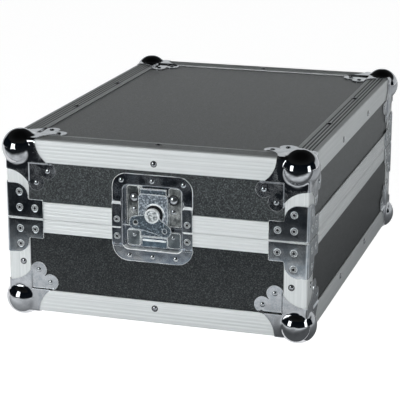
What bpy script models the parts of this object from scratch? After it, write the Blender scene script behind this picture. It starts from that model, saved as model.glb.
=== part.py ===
"""Mixer flight case: a plywood base and lift-off lid in aluminium edging, with ball corners,
corner braces, two recessed butterfly latches, a folding side handle and a foam lining.

Metres, +Z up. The origin is on the floor under the middle of the case. The front, which carries the
first latch, faces -Y, and the case is longest along Y.
"""

import math

import bmesh
import bpy
from mathutils import Matrix, Vector

# Outer size of the case over its aluminium edging
CASE_WIDTH = 0.400
CASE_DEPTH = 0.550
CASE_HEIGHT = 0.232
SPLIT_HEIGHT = 0.1265
GAP = 0.0003
SPLIT_GAP = 0.0003

# How far a cutting shape runs past what it cuts, and how far two joined shapes overlap
OVER = 0.01
LAP = 0.001
SEAT_LAP = 0.0002

# Aluminium edging and plywood panels
FLANGE = 0.030
FLANGE_THICKNESS = 0.0016
EDGE_RADIUS = 0.003
PROFILE_END = 0.0306
PANEL_THICKNESS = 0.009
LID_RIM_BAND = 0.023
BASE_RIM_BAND = 0.018

# Tongue and groove of the two rim profiles, measured inwards from the outer face
RIM_WALL = 0.0016
RIM_WEB = 0.0082
LID_RIM_WEB = 0.0075
RIM_INNER_SKIRT = 0.0145
GROOVE_FROM = 0.0038
GROOVE_TO = 0.0092
GROOVE_DEPTH = 0.0057
TONGUE_FROM = 0.0044
TONGUE_TO = 0.0086
TONGUE_DEPTH = 0.0049

# Pressed steel that lies over the edging
SHEET = 0.0012

# Ball corners: distances run from the corner of the case along its edges
BALL_RADIUS = 0.0243
BALL_INSET = 0.0144
BALL_FLAT = 0.0096
BALL_STEPS = 16
BALL_RINGS = 8
CAP_REACH = 0.041
CAP_WIDE_REACH = 0.057
CRANK_AT = 0.0303
EAR_CENTRE_FAR = 0.057
EAR_CENTRE_NEAR = 0.041
EAR_RADIUS = 0.0107
CAP_BLOCK = 0.080

# Corner braces
BRACE_LEG = 0.050
BRACE_ARM = 0.026
BRACE_UPRIGHT = 0.030
BRACE_HEIGHT = 0.047
BRACE_START = 0.001
BRACE_CORNER_RADIUS = 0.018

# Butterfly latch, measured from its middle at the split line
LATCH_X = -0.002
DISH_HALF_WIDTH = 0.05365
DISH_TOP = 0.0708
DISH_BOTTOM = -0.0448
DISH_TOP_RADIUS = 0.019
DISH_BOTTOM_RADIUS = 0.021
JOGGLE_TOP = 0.0315
JOGGLE_BOTTOM = -0.0246
RECESS_HALF_WIDTH = 0.0395
RECESS_TOP = 0.0555
RECESS_BOTTOM = -0.0285
RECESS_RADIUS = 0.008
RECESS_DEPTH = 0.0094
PIVOT_UP = 0.0175
CAM_OFFSET = 0.004
WING_TILT = 12.5
WING_HOLE_SPACING = 0.0397
WING_HOLE_DROP = 0.0154
WING_HOLE_RADIUS = 0.0038
WING_LOBE_RADIUS = 0.0087
WING_FRONT = 0.0009
WING_BACK = 0.0024
WING_SHOULDER = (0.009, 0.008)
WING_HEM_RISE = 0.0012
KNOB_RADIUS = 0.0095
KNOB_FACE_RADIUS = 0.0060
KNOB_RIM_INNER = 0.0072
KNOB_RIM_OUTER = 0.0085
KNOB_FACE_HEIGHT = 0.0030
KNOB_DISH_HEIGHT = 0.0032
KNOB_RIM_HEIGHT = 0.0042
KNOB_SIDE_HEIGHT = 0.0034
KNOB_SEAT = 0.0011
SHAFT_RADIUS = 0.0050
SHAFT_END = 0.0050
CAM_PIN_RADIUS = 0.0025
CAM_PIN_FROM = 0.0048
CAM_PIN_END = 0.0070

# Raised bridge of the latch, its riveted feet, and the hook plate that slides under it
BRIDGE_HALF_WIDTH = 0.0195
BRIDGE_BOTTOM = 0.0055
BRIDGE_TOP = 0.0445
BRIDGE_RADIUS = 0.005
BRIDGE_FRONT = 0.0031
BRIDGE_BACK = 0.0091
BRIDGE_CHANNEL_HALF = 0.018
BRIDGE_CHANNEL_FRONT = 0.0045
SHAFT_HOLE_RADIUS = 0.0054
FOOT_FROM = 0.0185
FOOT_TO = 0.0330
FOOT_BOTTOM = 0.0025
FOOT_TOP = 0.0535
FOOT_BOTTOM_RADIUS = 0.002
FOOT_TOP_RADIUS = 0.004
FOOT_FRONT = 0.0076
FOOT_BACK = 0.00905
HOOK_HALF_WIDTH = 0.0173
HOOK_BOTTOM = -0.0130
HOOK_TOP = 0.0515
HOOK_FRONT = 0.0053
HOOK_BACK = 0.0068
HOOK_SHEET = 0.0015
HOOK_LIP_FRONT = 0.0034
HOOK_TOP_LIP_FRONT = 0.0048
SLOT_HALF_WIDTH = 0.0073
SLOT_HALF_HEIGHT = 0.0037
SLOT_RADIUS = 0.0015

# Pads and keeper on the floor of the lower dish
PAD_FROM = 0.0185
PAD_TO = 0.0350
PAD_BOTTOM = -0.0235
PAD_TOP = -0.0040
PAD_RADIUS = 0.003
PAD_FRONT = 0.0060
KEEPER_HALF_WIDTH = 0.0165
KEEPER_BOTTOM = -0.0248
KEEPER_TOP = -0.0100
KEEPER_FRONT = 0.0073

# Side handle, measured from the middle of its dish
HANDLE_UP = 0.0692
HANDLE_HALF_WIDTH = 0.055
HANDLE_HALF_HEIGHT = 0.038
HANDLE_RECESS_X = 0.044
HANDLE_RECESS_Z = 0.027
HANDLE_FLANGE_RADIUS = 0.012
HANDLE_RECESS_RADIUS = 0.006
BAIL_PIVOT_UP = 0.018
BAIL_DEPTH = 0.0026
BAIL_DROP = 0.027
BAIL_ROD = 0.003
BAIL_HALF_WIDTH = 0.035
BAIL_BEND = 0.006
BAIL_EYE_CLEARANCE = 0.0006
LUG_RADIUS = 0.0058
LUG_FROM = 0.0394
LUG_TO = 0.0432
GRIP_RADIUS = 0.0065
GRIP_HALF_LENGTH = 0.027
GRIP_ROUND = 0.0015

# Foam lining
FOAM_CLEARANCE = 0.0131
FOAM_WALL = 0.020
FOAM_BED = 0.025
MIXER_BAY_DEPTH = 0.405
LID_FOAM = 0.040
FOAM_BELOW_RIM = 0.0045

# Heights worked out from the driving sizes, floor at zero
CASE_BOTTOM = BALL_FLAT
CASE_TOP = CASE_BOTTOM + CASE_HEIGHT
SPLIT_Z = CASE_BOTTOM + SPLIT_HEIGHT
HALF_WIDTH = CASE_WIDTH / 2
HALF_DEPTH = CASE_DEPTH / 2
PANEL_OUTER = FLANGE_THICKNESS + GAP
PANEL_INNER = PANEL_OUTER + PANEL_THICKNESS
PLATE_OUTER = -GAP - SHEET
EAR_OUTER = PANEL_OUTER - GAP - SHEET
EAR_INNER = PANEL_OUTER - GAP
RECESS_BACK = RECESS_DEPTH + SHEET
RECESS_HOLE = SHEET + GAP
LATCH_NOTCH_SPARE = 0.00005

COLLECTION_NAME = "mixer_flight_case"
QUARTER = math.pi / 2


def clear_scene():
    for item in list(bpy.data.objects):
        bpy.data.objects.remove(item, do_unlink=True)


def make_collection(name):
    collection = bpy.data.collections.new(name)
    bpy.context.scene.collection.children.link(collection)
    return collection


def make_material(name, colour, roughness, metallic):
    material = bpy.data.materials.new(name)
    material.use_nodes = True
    shader = material.node_tree.nodes["Principled BSDF"]
    shader.inputs["Base Color"].default_value = (*colour, 1.0)
    shader.inputs["Roughness"].default_value = roughness
    shader.inputs["Metallic"].default_value = metallic
    return material


clear_scene()
PARTS = make_collection(COLLECTION_NAME)
CUTTERS = make_collection("cutters")
LAMINATE = make_material("black_laminate", (0.045, 0.048, 0.050), 0.55, 0.0)
ALUMINIUM = make_material("natural_aluminium", (0.80, 0.81, 0.82), 0.32, 1.0)
CHROME = make_material("corner_chrome", (0.62, 0.63, 0.66), 0.08, 1.0)
ZINC = make_material("zinc_plate", (0.55, 0.57, 0.62), 0.20, 1.0)
FOAM = make_material("lining_foam", (0.035, 0.035, 0.038), 0.95, 0.0)
RUBBER = make_material("grip_rubber", (0.03, 0.03, 0.03), 0.70, 0.0)


# Building blocks


def working_object(mesh):
    """A shape that is still being made."""
    item = bpy.data.objects.new("shape", mesh)
    item.hide_render = True
    item.display_type = "WIRE"
    CUTTERS.objects.link(item)
    return item


def box(low, high):
    """A closed box between two corners."""
    low = Vector(low)
    high = Vector(high)
    form = bmesh.new()
    bmesh.ops.create_cube(form, size=1.0)
    form.transform(Matrix.Translation((low + high) / 2) @ Matrix.Diagonal((*(high - low), 1.0)))
    mesh = bpy.data.meshes.new("box")
    form.to_mesh(mesh)
    form.free()
    return working_object(mesh)


def case_box(inset, low_z, high_z):
    """A box as large as the case in plan, drawn in by the inset all round."""
    x = HALF_WIDTH - inset
    y = HALF_DEPTH - inset
    return box((-x, -y, low_z), (x, y, high_z))


def evaluated_mesh(item):
    depsgraph = bpy.context.evaluated_depsgraph_get()
    return bpy.data.meshes.new_from_object(item.evaluated_get(depsgraph))


def weld(mesh):
    """Joins the loose caps of a converted curve and turns its faces outwards."""
    form = bmesh.new()
    form.from_mesh(mesh)
    bmesh.ops.remove_doubles(form, verts=form.verts, dist=0.000005)
    bmesh.ops.recalc_face_normals(form, faces=form.faces)
    form.to_mesh(mesh)
    form.free()
    return mesh


def settle(item):
    """Replaces a shape's mesh by what its modifiers make of it."""
    mesh = evaluated_mesh(item)
    item.modifiers.clear()
    item.data = mesh
    return item


def combine(item, operation, *tools):
    for tool in tools:
        modifier = item.modifiers.new(operation.lower(), "BOOLEAN")
        modifier.operation = operation
        modifier.solver = "EXACT"
        modifier.object = tool
        settle(item)
        bpy.data.objects.remove(tool, do_unlink=True)
    return item


def cut(item, *tools):
    return combine(item, "DIFFERENCE", *tools)


def join(item, *tools):
    return combine(item, "UNION", *tools)


def round_edges(item, width, segments):
    modifier = item.modifiers.new("round", "BEVEL")
    modifier.width = width
    modifier.segments = segments
    modifier.limit_method = "ANGLE"
    modifier.angle_limit = math.radians(40)
    return settle(item)


def moved(item, matrix):
    item.data.transform(matrix)
    return item


# A flat outline (u, v) stands on the plane across an axis: X carries (y, z), Y carries (x, z) and
# Z carries (x, y)
OUTLINE_TURN = {
    "X": Matrix(((0, 0, 1, 0), (1, 0, 0, 0), (0, 1, 0, 0), (0, 0, 0, 1))),
    "Y": Matrix(((1, 0, 0, 0), (0, 0, -1, 0), (0, 1, 0, 0), (0, 0, 0, 1))),
    "Z": Matrix.Identity(4),
}
OUTLINE_SHIFT = {"X": Vector((1, 0, 0)), "Y": Vector((0, 1, 0)), "Z": Vector((0, 0, 1))}


def prism(points, axis, low, high):
    """A flat outline made solid along an axis, from low to high."""
    curve = bpy.data.curves.new("outline", "CURVE")
    curve.dimensions = "2D"
    curve.fill_mode = "BOTH"
    curve.extrude = (high - low) / 2
    spline = curve.splines.new("POLY")
    spline.points.add(len(points) - 1)
    for point, (u, v) in zip(spline.points, points):
        point.co = (u, v, 0.0, 1.0)
    spline.use_cyclic_u = True
    source = bpy.data.objects.new("outline", curve)
    CUTTERS.objects.link(source)
    mesh = weld(evaluated_mesh(source))
    bpy.data.objects.remove(source, do_unlink=True)
    middle = OUTLINE_SHIFT[axis] * ((low + high) / 2)
    mesh.transform(Matrix.Translation(middle) @ OUTLINE_TURN[axis])
    return working_object(mesh)


def arc(centre, radius, start, end, steps):
    """Points on an arc, with angles in degrees."""
    points = []
    for step in range(steps + 1):
        angle = math.radians(start + (end - start) * step / steps)
        points.append((centre[0] + radius * math.cos(angle), centre[1] + radius * math.sin(angle)))
    return points


def rounded_rectangle(left, right, bottom, top, bottom_radius, top_radius, steps):
    points = []
    for x, z, radius, start in (
        (right, top, top_radius, 0),
        (left, top, top_radius, 90),
        (left, bottom, bottom_radius, 180),
        (right, bottom, bottom_radius, 270),
    ):
        if radius == 0:
            points.append((x, z))
            continue
        centre_x = x - radius if x == right else x + radius
        centre_z = z - radius if z == top else z + radius
        points.extend(arc((centre_x, centre_z), radius, start, start + 90, steps))
    return points


def turned(profile, steps):
    """A solid turned about Z from a profile that runs down its outer side."""
    mesh = bpy.data.meshes.new("profile")
    edges = [(index, index + 1) for index in range(len(profile) - 1)]
    mesh.from_pydata([(radius, 0.0, height) for radius, height in profile], edges, [])
    item = working_object(mesh)
    modifier = item.modifiers.new("turn", "SCREW")
    modifier.axis = "Z"
    modifier.steps = steps
    modifier.render_steps = steps
    modifier.use_merge_vertices = True
    modifier.merge_threshold = 0.00001
    settle(item)
    weld(item.data)
    return item


def cylinder(axis, centre, radius, low, high, segments):
    """A round bar along an axis, centred on the other two coordinates."""
    return prism(arc(centre, radius, 0, 360 - 360 / segments, segments - 1), axis, low, high)


def finish(name, item, material, location=(0, 0, 0), rotation=(0, 0, 0), smooth=True):
    """Turns a shape into a named part of the case."""
    mesh = item.data
    mesh.name = name
    bpy.data.objects.remove(item, do_unlink=True)
    return place(name, mesh, material, location, rotation, smooth)


def place(name, mesh, material, location=(0, 0, 0), rotation=(0, 0, 0), smooth=True):
    part = bpy.data.objects.new(name, mesh)
    part.location = location
    part.rotation_euler = rotation
    mesh.materials.clear()
    mesh.materials.append(material)
    if smooth:
        mesh.shade_smooth()
        mesh.set_sharp_from_angle(angle=math.radians(32))
    PARTS.objects.link(part)
    return part


def take_mesh(item):
    """The mesh of a finished shape, to be shared by several parts."""
    mesh = item.data
    bpy.data.objects.remove(item, do_unlink=True)
    return mesh


def hang_on(pivot_name, location, parts):
    """An empty on a joint's axis that carries the parts which move with it."""
    pivot = bpy.data.objects.new(pivot_name, None)
    pivot.location = location
    pivot.empty_display_size = 0.02
    PARTS.objects.link(pivot)
    for part in parts:
        part.parent = pivot
        part.matrix_parent_inverse = Matrix.Translation(location).inverted()
    return pivot


# Panels


def latch_notch(sign, depth, low, high):
    """Room in a rim for a latch's recess: sign is -1 on the front and 1 on the rear."""
    half = RECESS_HALF_WIDTH + RECESS_HOLE
    middle = -sign * LATCH_X
    near = HALF_DEPTH + OVER
    far = HALF_DEPTH - depth
    y_low = min(sign * near, sign * far)
    y_high = max(sign * near, sign * far)
    return box((middle - half, y_low, low), (middle + half, y_high, high))


def panel_hole(sign, low, high):
    """The latch opening, cut right through a panel."""
    half = RECESS_HALF_WIDTH + RECESS_HOLE
    middle = -sign * LATCH_X
    y = sign * (HALF_DEPTH - PANEL_OUTER - PANEL_THICKNESS / 2)
    return box((middle - half, y - PANEL_THICKNESS, low), (middle + half, y + PANEL_THICKNESS, high))


def make_panels():
    x_out = HALF_WIDTH - PANEL_OUTER
    y_out = HALF_DEPTH - PANEL_OUTER
    y_in = HALF_DEPTH - PANEL_INNER
    x_in = HALF_WIDTH - PANEL_INNER
    floor_low = CASE_BOTTOM + PANEL_OUTER
    wall_low = CASE_BOTTOM + PANEL_INNER + GAP
    base_top = SPLIT_Z - RIM_WEB - GAP
    lid_low = SPLIT_Z + LID_RIM_WEB + GAP
    lid_top = CASE_TOP - PANEL_INNER - GAP
    parts = {}
    floor = box((-x_out, -y_out, floor_low), (x_out, y_out, floor_low + PANEL_THICKNESS))
    parts["base_floor_panel"] = floor
    roof_low = CASE_TOP - PANEL_INNER
    parts["lid_top_panel"] = box((-x_out, -y_out, roof_low), (x_out, y_out, roof_low + PANEL_THICKNESS))
    for shell, low, high in (("base", wall_low, base_top), ("lid", lid_low, lid_top)):
        for side, sign in (("front", -1), ("rear", 1)):
            y_low = min(sign * y_out, sign * y_in)
            panel = box((-x_out, y_low, low), (x_out, y_low + PANEL_THICKNESS, high))
            hole_low = SPLIT_Z + RECESS_BOTTOM - RECESS_HOLE if shell == "base" else low - OVER
            hole_high = SPLIT_Z + RECESS_TOP + RECESS_HOLE if shell == "lid" else high + OVER
            cut(panel, panel_hole(sign, hole_low, hole_high))
            parts[f"{shell}_{side}_panel"] = panel
        for side, sign in (("left", -1), ("right", 1)):
            x_low = min(sign * x_out, sign * x_in)
            y = y_in - GAP
            parts[f"{shell}_{side}_panel"] = box((x_low, -y, low), (x_low + PANEL_THICKNESS, y, high))
    cut(parts["base_left_panel"], handle_opening())
    return [finish(name, item, LAMINATE, smooth=False) for name, item in parts.items()]


# Aluminium edging


def angle_section():
    """The section of the edging: two flanges that meet at a rounded outer corner."""
    return [
        (FLANGE, 0.0),
        (FLANGE, FLANGE_THICKNESS),
        (FLANGE_THICKNESS, FLANGE_THICKNESS),
        (FLANGE_THICKNESS, FLANGE),
        (0.0, FLANGE),
        *arc((EDGE_RADIUS, EDGE_RADIUS), EDGE_RADIUS, 180, 270, 3),
    ]


def make_edges():
    """The eight long edge profiles. Each turns about its own corner line."""
    parts = []
    length_x = HALF_WIDTH - PROFILE_END
    length_y = HALF_DEPTH - PROFILE_END
    along_x = take_mesh(prism(angle_section(), "X", -length_x, length_x))
    along_y = take_mesh(prism(angle_section(), "Y", -length_y, length_y))
    for name, y, z, turn in (
        ("base_edge_front", -HALF_DEPTH, CASE_BOTTOM, 0),
        ("base_edge_rear", HALF_DEPTH, CASE_BOTTOM, 1),
        ("lid_edge_rear", HALF_DEPTH, CASE_TOP, 2),
        ("lid_edge_front", -HALF_DEPTH, CASE_TOP, 3),
    ):
        parts.append(place(name, along_x, ALUMINIUM, (0, y, z), (turn * QUARTER, 0, 0)))
    for name, x, z, turn in (
        ("base_edge_left", -HALF_WIDTH, CASE_BOTTOM, 0),
        ("lid_edge_left", -HALF_WIDTH, CASE_TOP, 1),
        ("lid_edge_right", HALF_WIDTH, CASE_TOP, 2),
        ("base_edge_right", HALF_WIDTH, CASE_BOTTOM, 3),
    ):
        parts.append(place(name, along_y, ALUMINIUM, (x, 0, z), (0, turn * QUARTER, 0)))
    return parts


# The same shape on the three faces that meet in a corner: each turn sends x to y, y to z and z to x
ONE_FACE_ON = Matrix(((0, 0, 1, 0), (1, 0, 0, 0), (0, 1, 0, 0), (0, 0, 0, 1)))
THREE_FACES = (Matrix.Identity(4), ONE_FACE_ON, ONE_FACE_ON @ ONE_FACE_ON)

# Each standing edge of the case, with the quarter turns that bring the front left shape to it
CORNERS = (
    ("front_left", -1, -1, 0),
    ("front_right", 1, -1, 1),
    ("rear_right", 1, 1, 2),
    ("rear_left", -1, 1, 3),
)


def make_posts():
    """The short profiles up the standing edges, between the ball corners and the rims."""
    parts = []
    base_low = CASE_BOTTOM + PROFILE_END
    base_high = SPLIT_Z - BASE_RIM_BAND - GAP
    lid_low = SPLIT_Z + LID_RIM_BAND + GAP
    lid_high = CASE_TOP - PROFILE_END
    for shell, low, high in (("base", base_low, base_high), ("lid", lid_low, lid_high)):
        mesh = take_mesh(prism(angle_section(), "Z", low, high))
        for corner, x_sign, y_sign, turn in CORNERS:
            location = (x_sign * HALF_WIDTH, y_sign * HALF_DEPTH, 0)
            rotation = (0, 0, turn * QUARTER)
            parts.append(place(f"{shell}_post_{corner}", mesh, ALUMINIUM, location, rotation))
    return parts


def rounded_case_box(low_z, high_z):
    x = HALF_WIDTH
    y = HALF_DEPTH
    corners = rounded_rectangle(-x, x, -y, y, EDGE_RADIUS, EDGE_RADIUS, 3)
    return prism(corners, "Z", low_z, high_z)


def ring(inset_from, inset_to, low_z, high_z):
    return cut(case_box(inset_from, low_z, high_z), case_box(inset_to, low_z - OVER, high_z + OVER))


def half_of(item, sign):
    """A copy of what a shape has on one side of the middle of the case."""
    half = working_object(item.data.copy())
    other = -sign * HALF_WIDTH / 2
    reach = HALF_WIDTH / 2
    low = (other - reach, -HALF_DEPTH - OVER, 0.0)
    return cut(half, box(low, (other + reach, HALF_DEPTH + OVER, CASE_TOP)))


def make_rims():
    """The groove rim round the base, and the tongue rim of the lid in two lengths between the latches."""
    inner = PANEL_INNER + GAP
    inner_face = inner + RIM_WALL
    top = SPLIT_Z - SPLIT_GAP / 2
    skirt = inner_face + 0.004
    tall = LID_RIM_BAND + OVER
    base = rounded_case_box(SPLIT_Z - BASE_RIM_BAND, top)
    cut(base, case_box(RIM_WALL, SPLIT_Z - BASE_RIM_BAND - OVER, SPLIT_Z - RIM_WEB))
    join(base, ring(inner, skirt, SPLIT_Z - RIM_INNER_SKIRT, SPLIT_Z - RIM_WEB + LAP))
    cut(base, case_box(inner_face, SPLIT_Z - tall, SPLIT_Z + OVER))
    cut(base, ring(GROOVE_FROM, GROOVE_TO, SPLIT_Z - GROOVE_DEPTH, SPLIT_Z + OVER))
    bottom = SPLIT_Z + SPLIT_GAP / 2
    lid = rounded_case_box(bottom, SPLIT_Z + LID_RIM_BAND)
    cut(lid, case_box(RIM_WALL, SPLIT_Z + LID_RIM_WEB, SPLIT_Z + tall))
    join(lid, ring(inner, skirt, SPLIT_Z + LID_RIM_WEB - LAP, SPLIT_Z + RIM_INNER_SKIRT))
    cut(lid, case_box(inner_face, SPLIT_Z - OVER, SPLIT_Z + tall))
    join(lid, ring(TONGUE_FROM, TONGUE_TO, SPLIT_Z - TONGUE_DEPTH, bottom + LAP))
    behind_dish = RECESS_BACK + GAP + LATCH_NOTCH_SPARE
    for rim, depth in ((base, behind_dish), (lid, inner_face + OVER)):
        for sign in (-1, 1):
            cut(rim, latch_notch(sign, depth, SPLIT_Z - tall, SPLIT_Z + tall))
    parts = [finish("base_rim", base, ALUMINIUM)]
    for side, sign in (("left", -1), ("right", 1)):
        parts.append(finish(f"lid_rim_{side}", half_of(lid, sign), ALUMINIUM))
    bpy.data.objects.remove(lid, do_unlink=True)
    return parts


# Ball corners


def ear_outline():
    """The two-lobed ear that lies on a panel."""
    far = EAR_CENTRE_FAR
    near = EAR_CENTRE_NEAR
    return [
        (CRANK_AT, CRANK_AT),
        *arc((far, near), EAR_RADIUS, -90, 135, 6),
        *arc((near, far), EAR_RADIUS, -45, 180, 6),
    ]


def beyond_cap_outline():
    """What is taken from one face outside the cap: its hollow ends and the panel between them."""
    inner = CRANK_AT + SHEET
    wide = CAP_WIDE_REACH
    rise = CRANK_AT
    sweep = (rise * rise + (wide - CAP_REACH) ** 2) / (2 * (wide - CAP_REACH))
    end = 180 - math.degrees(math.asin(rise / sweep))
    hollow = arc((CAP_REACH + sweep, 0.0), sweep, 180, end, 4)
    mirrored = [(v, u) for u, v in reversed(hollow)]
    low = -OVER
    far = CAP_BLOCK + OVER
    return [
        (CAP_REACH, low),
        *hollow,
        (wide, inner),
        (inner, inner),
        (inner, wide),
        *mirrored,
        (low, CAP_REACH),
        (low, far),
        (far, far),
        (far, low),
    ]


def ball(radius, rings, steps, flat):
    """A ball about Z whose outer side is cut flat where the case stands or stacks."""
    lowest = -(BALL_INSET + flat)
    last = math.degrees(math.asin(max(lowest / radius, -1.0)))
    profile = [(0.0, radius)]
    for step in range(1, rings):
        angle = math.radians(90 + (last - 90) * step / rings)
        profile.append((radius * math.cos(angle), radius * math.sin(angle)))
    if last > -90:
        profile.append((radius * math.cos(math.radians(last)), lowest))
    profile.append((0.0, lowest))
    middle = Matrix.Translation((BALL_INSET, BALL_INSET, BALL_INSET))
    return moved(turned(profile, steps), middle)


def make_ear():
    """The ear on the panel, with the wall that steps up from it to the cap."""
    ear = prism(ear_outline(), "Z", PLATE_OUTER + SHEET / 2, EAR_INNER)
    front = CRANK_AT + SHEET * 0.95
    return cut(ear, box((front, front, -OVER), (CAP_BLOCK, CAP_BLOCK, EAR_OUTER)))


def make_ball_corner_mesh():
    """A pressed cap: three plates round the corner of the case, their ears, and a hollow ball."""
    outer = PLATE_OUTER
    far = CAP_BLOCK
    cap = round_edges(box((outer, outer, outer), (far, far, far)), EDGE_RADIUS, 2)
    join(cap, ball(BALL_RADIUS, BALL_RINGS, BALL_STEPS, BALL_FLAT))
    for spin in THREE_FACES:
        cut(cap, moved(prism(beyond_cap_outline(), "Z", -OVER, -GAP / 2), spin))
    cut(cap, box((-GAP, -GAP, -GAP), (far + OVER, far + OVER, far + OVER)))
    cut(cap, ball(BALL_RADIUS - SHEET, 6, 12, BALL_FLAT - SHEET))
    for spin in THREE_FACES:
        join(cap, moved(make_ear(), spin))
    return take_mesh(cap)


def make_ball_corners():
    mesh = make_ball_corner_mesh()
    parts = []
    for corner, x_sign, y_sign, turn in CORNERS:
        location = (x_sign * HALF_WIDTH, y_sign * HALF_DEPTH, CASE_BOTTOM)
        rotation = (0, 0, turn * QUARTER)
        parts.append(place(f"base_ball_corner_{corner}", mesh, CHROME, location, rotation))
    for corner, x_sign, y_sign, turn in CORNERS:
        location = (x_sign * HALF_WIDTH, y_sign * HALF_DEPTH, CASE_TOP)
        rotation = (math.pi, 0, (turn + 1) * QUARTER)
        parts.append(place(f"lid_ball_corner_{corner}", mesh, CHROME, location, rotation))
    return parts


# Corner braces


def brace_cutter():
    """What is taken from one leg above its arm and outside its rounded upright."""
    radius = BRACE_CORNER_RADIUS
    upright = BRACE_UPRIGHT
    far = BRACE_LEG + OVER
    top = BRACE_HEIGHT + OVER
    return [
        (far, BRACE_ARM),
        (upright, BRACE_ARM),
        *arc((upright - radius, BRACE_HEIGHT - radius), radius, 0, 90, 5),
        (upright - radius, top),
        (far, top),
    ]


def make_brace_mesh():
    """A bent brace round a standing edge, rising from the split line."""
    centre = (EDGE_RADIUS, EDGE_RADIUS)
    inner = -GAP
    outer = PLATE_OUTER
    section = [
        (BRACE_LEG, outer),
        (BRACE_LEG, inner),
        *arc(centre, EDGE_RADIUS + GAP, 270, 180, 4),
        (inner, BRACE_LEG),
        (outer, BRACE_LEG),
        *arc(centre, EDGE_RADIUS + GAP + SHEET, 180, 270, 4),
    ]
    brace = prism(section, "Z", BRACE_START, BRACE_HEIGHT)
    cut(brace, prism(brace_cutter(), "Y", -OVER, OVER))
    cut(brace, prism(brace_cutter(), "X", -OVER, OVER))
    return take_mesh(brace)


def make_braces():
    mesh = make_brace_mesh()
    parts = []
    for corner, x_sign, y_sign, turn in CORNERS:
        location = (x_sign * HALF_WIDTH, y_sign * HALF_DEPTH, SPLIT_Z)
        parts.append(place(f"lid_brace_{corner}", mesh, ZINC, location, (0, 0, turn * QUARTER)))
    for corner, x_sign, y_sign, turn in CORNERS:
        location = (x_sign * HALF_WIDTH, y_sign * HALF_DEPTH, SPLIT_Z)
        rotation = (math.pi, 0, (turn + 1) * QUARTER)
        parts.append(place(f"base_brace_{corner}", mesh, ZINC, location, rotation))
    return parts


# Butterfly latch: x to the right, y into the case from its outer face, z up from the split line


def dish_half(bottom, top, flange, pan, recess, joggle, upward):
    """Half of the latch dish: a flange that steps over the rim, and its share of the recess."""
    deep = RECESS_BACK + OVER
    far = DISH_TOP + OVER
    dish = prism(flange, "Y", PLATE_OUTER, EAR_INNER)
    step = joggle - SHEET / 2
    high_step = joggle + SHEET / 2
    if upward:
        over_rim = box((-far, -GAP, -far), (far, deep, step))
        over_panel = box((-far, -deep, high_step), (far, EAR_OUTER, far))
    else:
        over_rim = box((-far, -GAP, high_step), (far, deep, far))
        over_panel = box((-far, -deep, -far), (far, EAR_OUTER, step))
    cut(dish, over_rim)
    join(dish, prism(pan, "Y", PLATE_OUTER + SHEET / 2, RECESS_BACK))
    cut(dish, over_panel)
    cut(dish, prism(recess, "Y", -deep, RECESS_DEPTH))
    cut(dish, box((-far, -deep, -far), (far, deep, bottom)))
    return cut(dish, box((-far, -deep, top), (far, deep, far)))


def upper_dish_mesh():
    half = DISH_HALF_WIDTH
    inner = RECESS_HALF_WIDTH
    outer = inner + SHEET
    low = SPLIT_GAP / 2
    flange = rounded_rectangle(-half, half, -OVER, DISH_TOP, 0, DISH_TOP_RADIUS, 6)
    pan = rounded_rectangle(-outer, outer, -OVER, RECESS_TOP + SHEET, 0, RECESS_RADIUS + SHEET, 4)
    recess = rounded_rectangle(-inner, inner, -2 * OVER, RECESS_TOP, 0, RECESS_RADIUS, 4)
    return take_mesh(dish_half(low, DISH_TOP + LAP, flange, pan, recess, JOGGLE_TOP, True))


def lower_dish_mesh():
    half = DISH_HALF_WIDTH
    inner = RECESS_HALF_WIDTH
    outer = inner + SHEET
    high = -SPLIT_GAP / 2
    flange = rounded_rectangle(-half, half, DISH_BOTTOM, OVER, DISH_BOTTOM_RADIUS, 0, 6)
    pan = rounded_rectangle(-outer, outer, RECESS_BOTTOM - SHEET, OVER, RECESS_RADIUS + SHEET, 0, 4)
    recess = rounded_rectangle(-inner, inner, RECESS_BOTTOM, 2 * OVER, RECESS_RADIUS, 0, 4)
    dish = dish_half(DISH_BOTTOM - LAP, high, flange, pan, recess, JOGGLE_BOTTOM, False)
    seat = RECESS_DEPTH + SEAT_LAP
    for sign in (-1, 1):
        left = min(sign * PAD_FROM, sign * PAD_TO)
        right = left + PAD_TO - PAD_FROM
        pad = rounded_rectangle(left, right, PAD_BOTTOM, PAD_TOP, PAD_RADIUS, PAD_RADIUS, 2)
        join(dish, prism(pad, "Y", PAD_FRONT, seat))
    keeper = box((-KEEPER_HALF_WIDTH, KEEPER_FRONT, KEEPER_BOTTOM), (KEEPER_HALF_WIDTH, seat, KEEPER_TOP))
    return take_mesh(join(dish, keeper))


def mechanism_mesh():
    """The riveted plate with a raised bridge that guides the hook and carries the wing."""
    half = BRIDGE_HALF_WIDTH
    bridge = rounded_rectangle(-half, half, BRIDGE_BOTTOM, BRIDGE_TOP, 0, BRIDGE_RADIUS, 3)
    body = prism(bridge, "Y", BRIDGE_FRONT, BRIDGE_BACK)
    channel = BRIDGE_CHANNEL_HALF
    low = (-channel, BRIDGE_CHANNEL_FRONT, BRIDGE_BOTTOM - OVER)
    cut(body, box(low, (channel, BRIDGE_BACK + OVER, BRIDGE_TOP + OVER)))
    for sign in (-1, 1):
        left = min(sign * FOOT_FROM, sign * FOOT_TO)
        right = left + FOOT_TO - FOOT_FROM
        foot = rounded_rectangle(left, right, FOOT_BOTTOM, FOOT_TOP, FOOT_BOTTOM_RADIUS, FOOT_TOP_RADIUS, 2)
        join(body, prism(foot, "Y", FOOT_FRONT, FOOT_BACK))
    cut(body, cylinder("Y", (0.0, PIVOT_UP), SHAFT_HOLE_RADIUS, 0.0, OVER, 16))
    return take_mesh(body)


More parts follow.
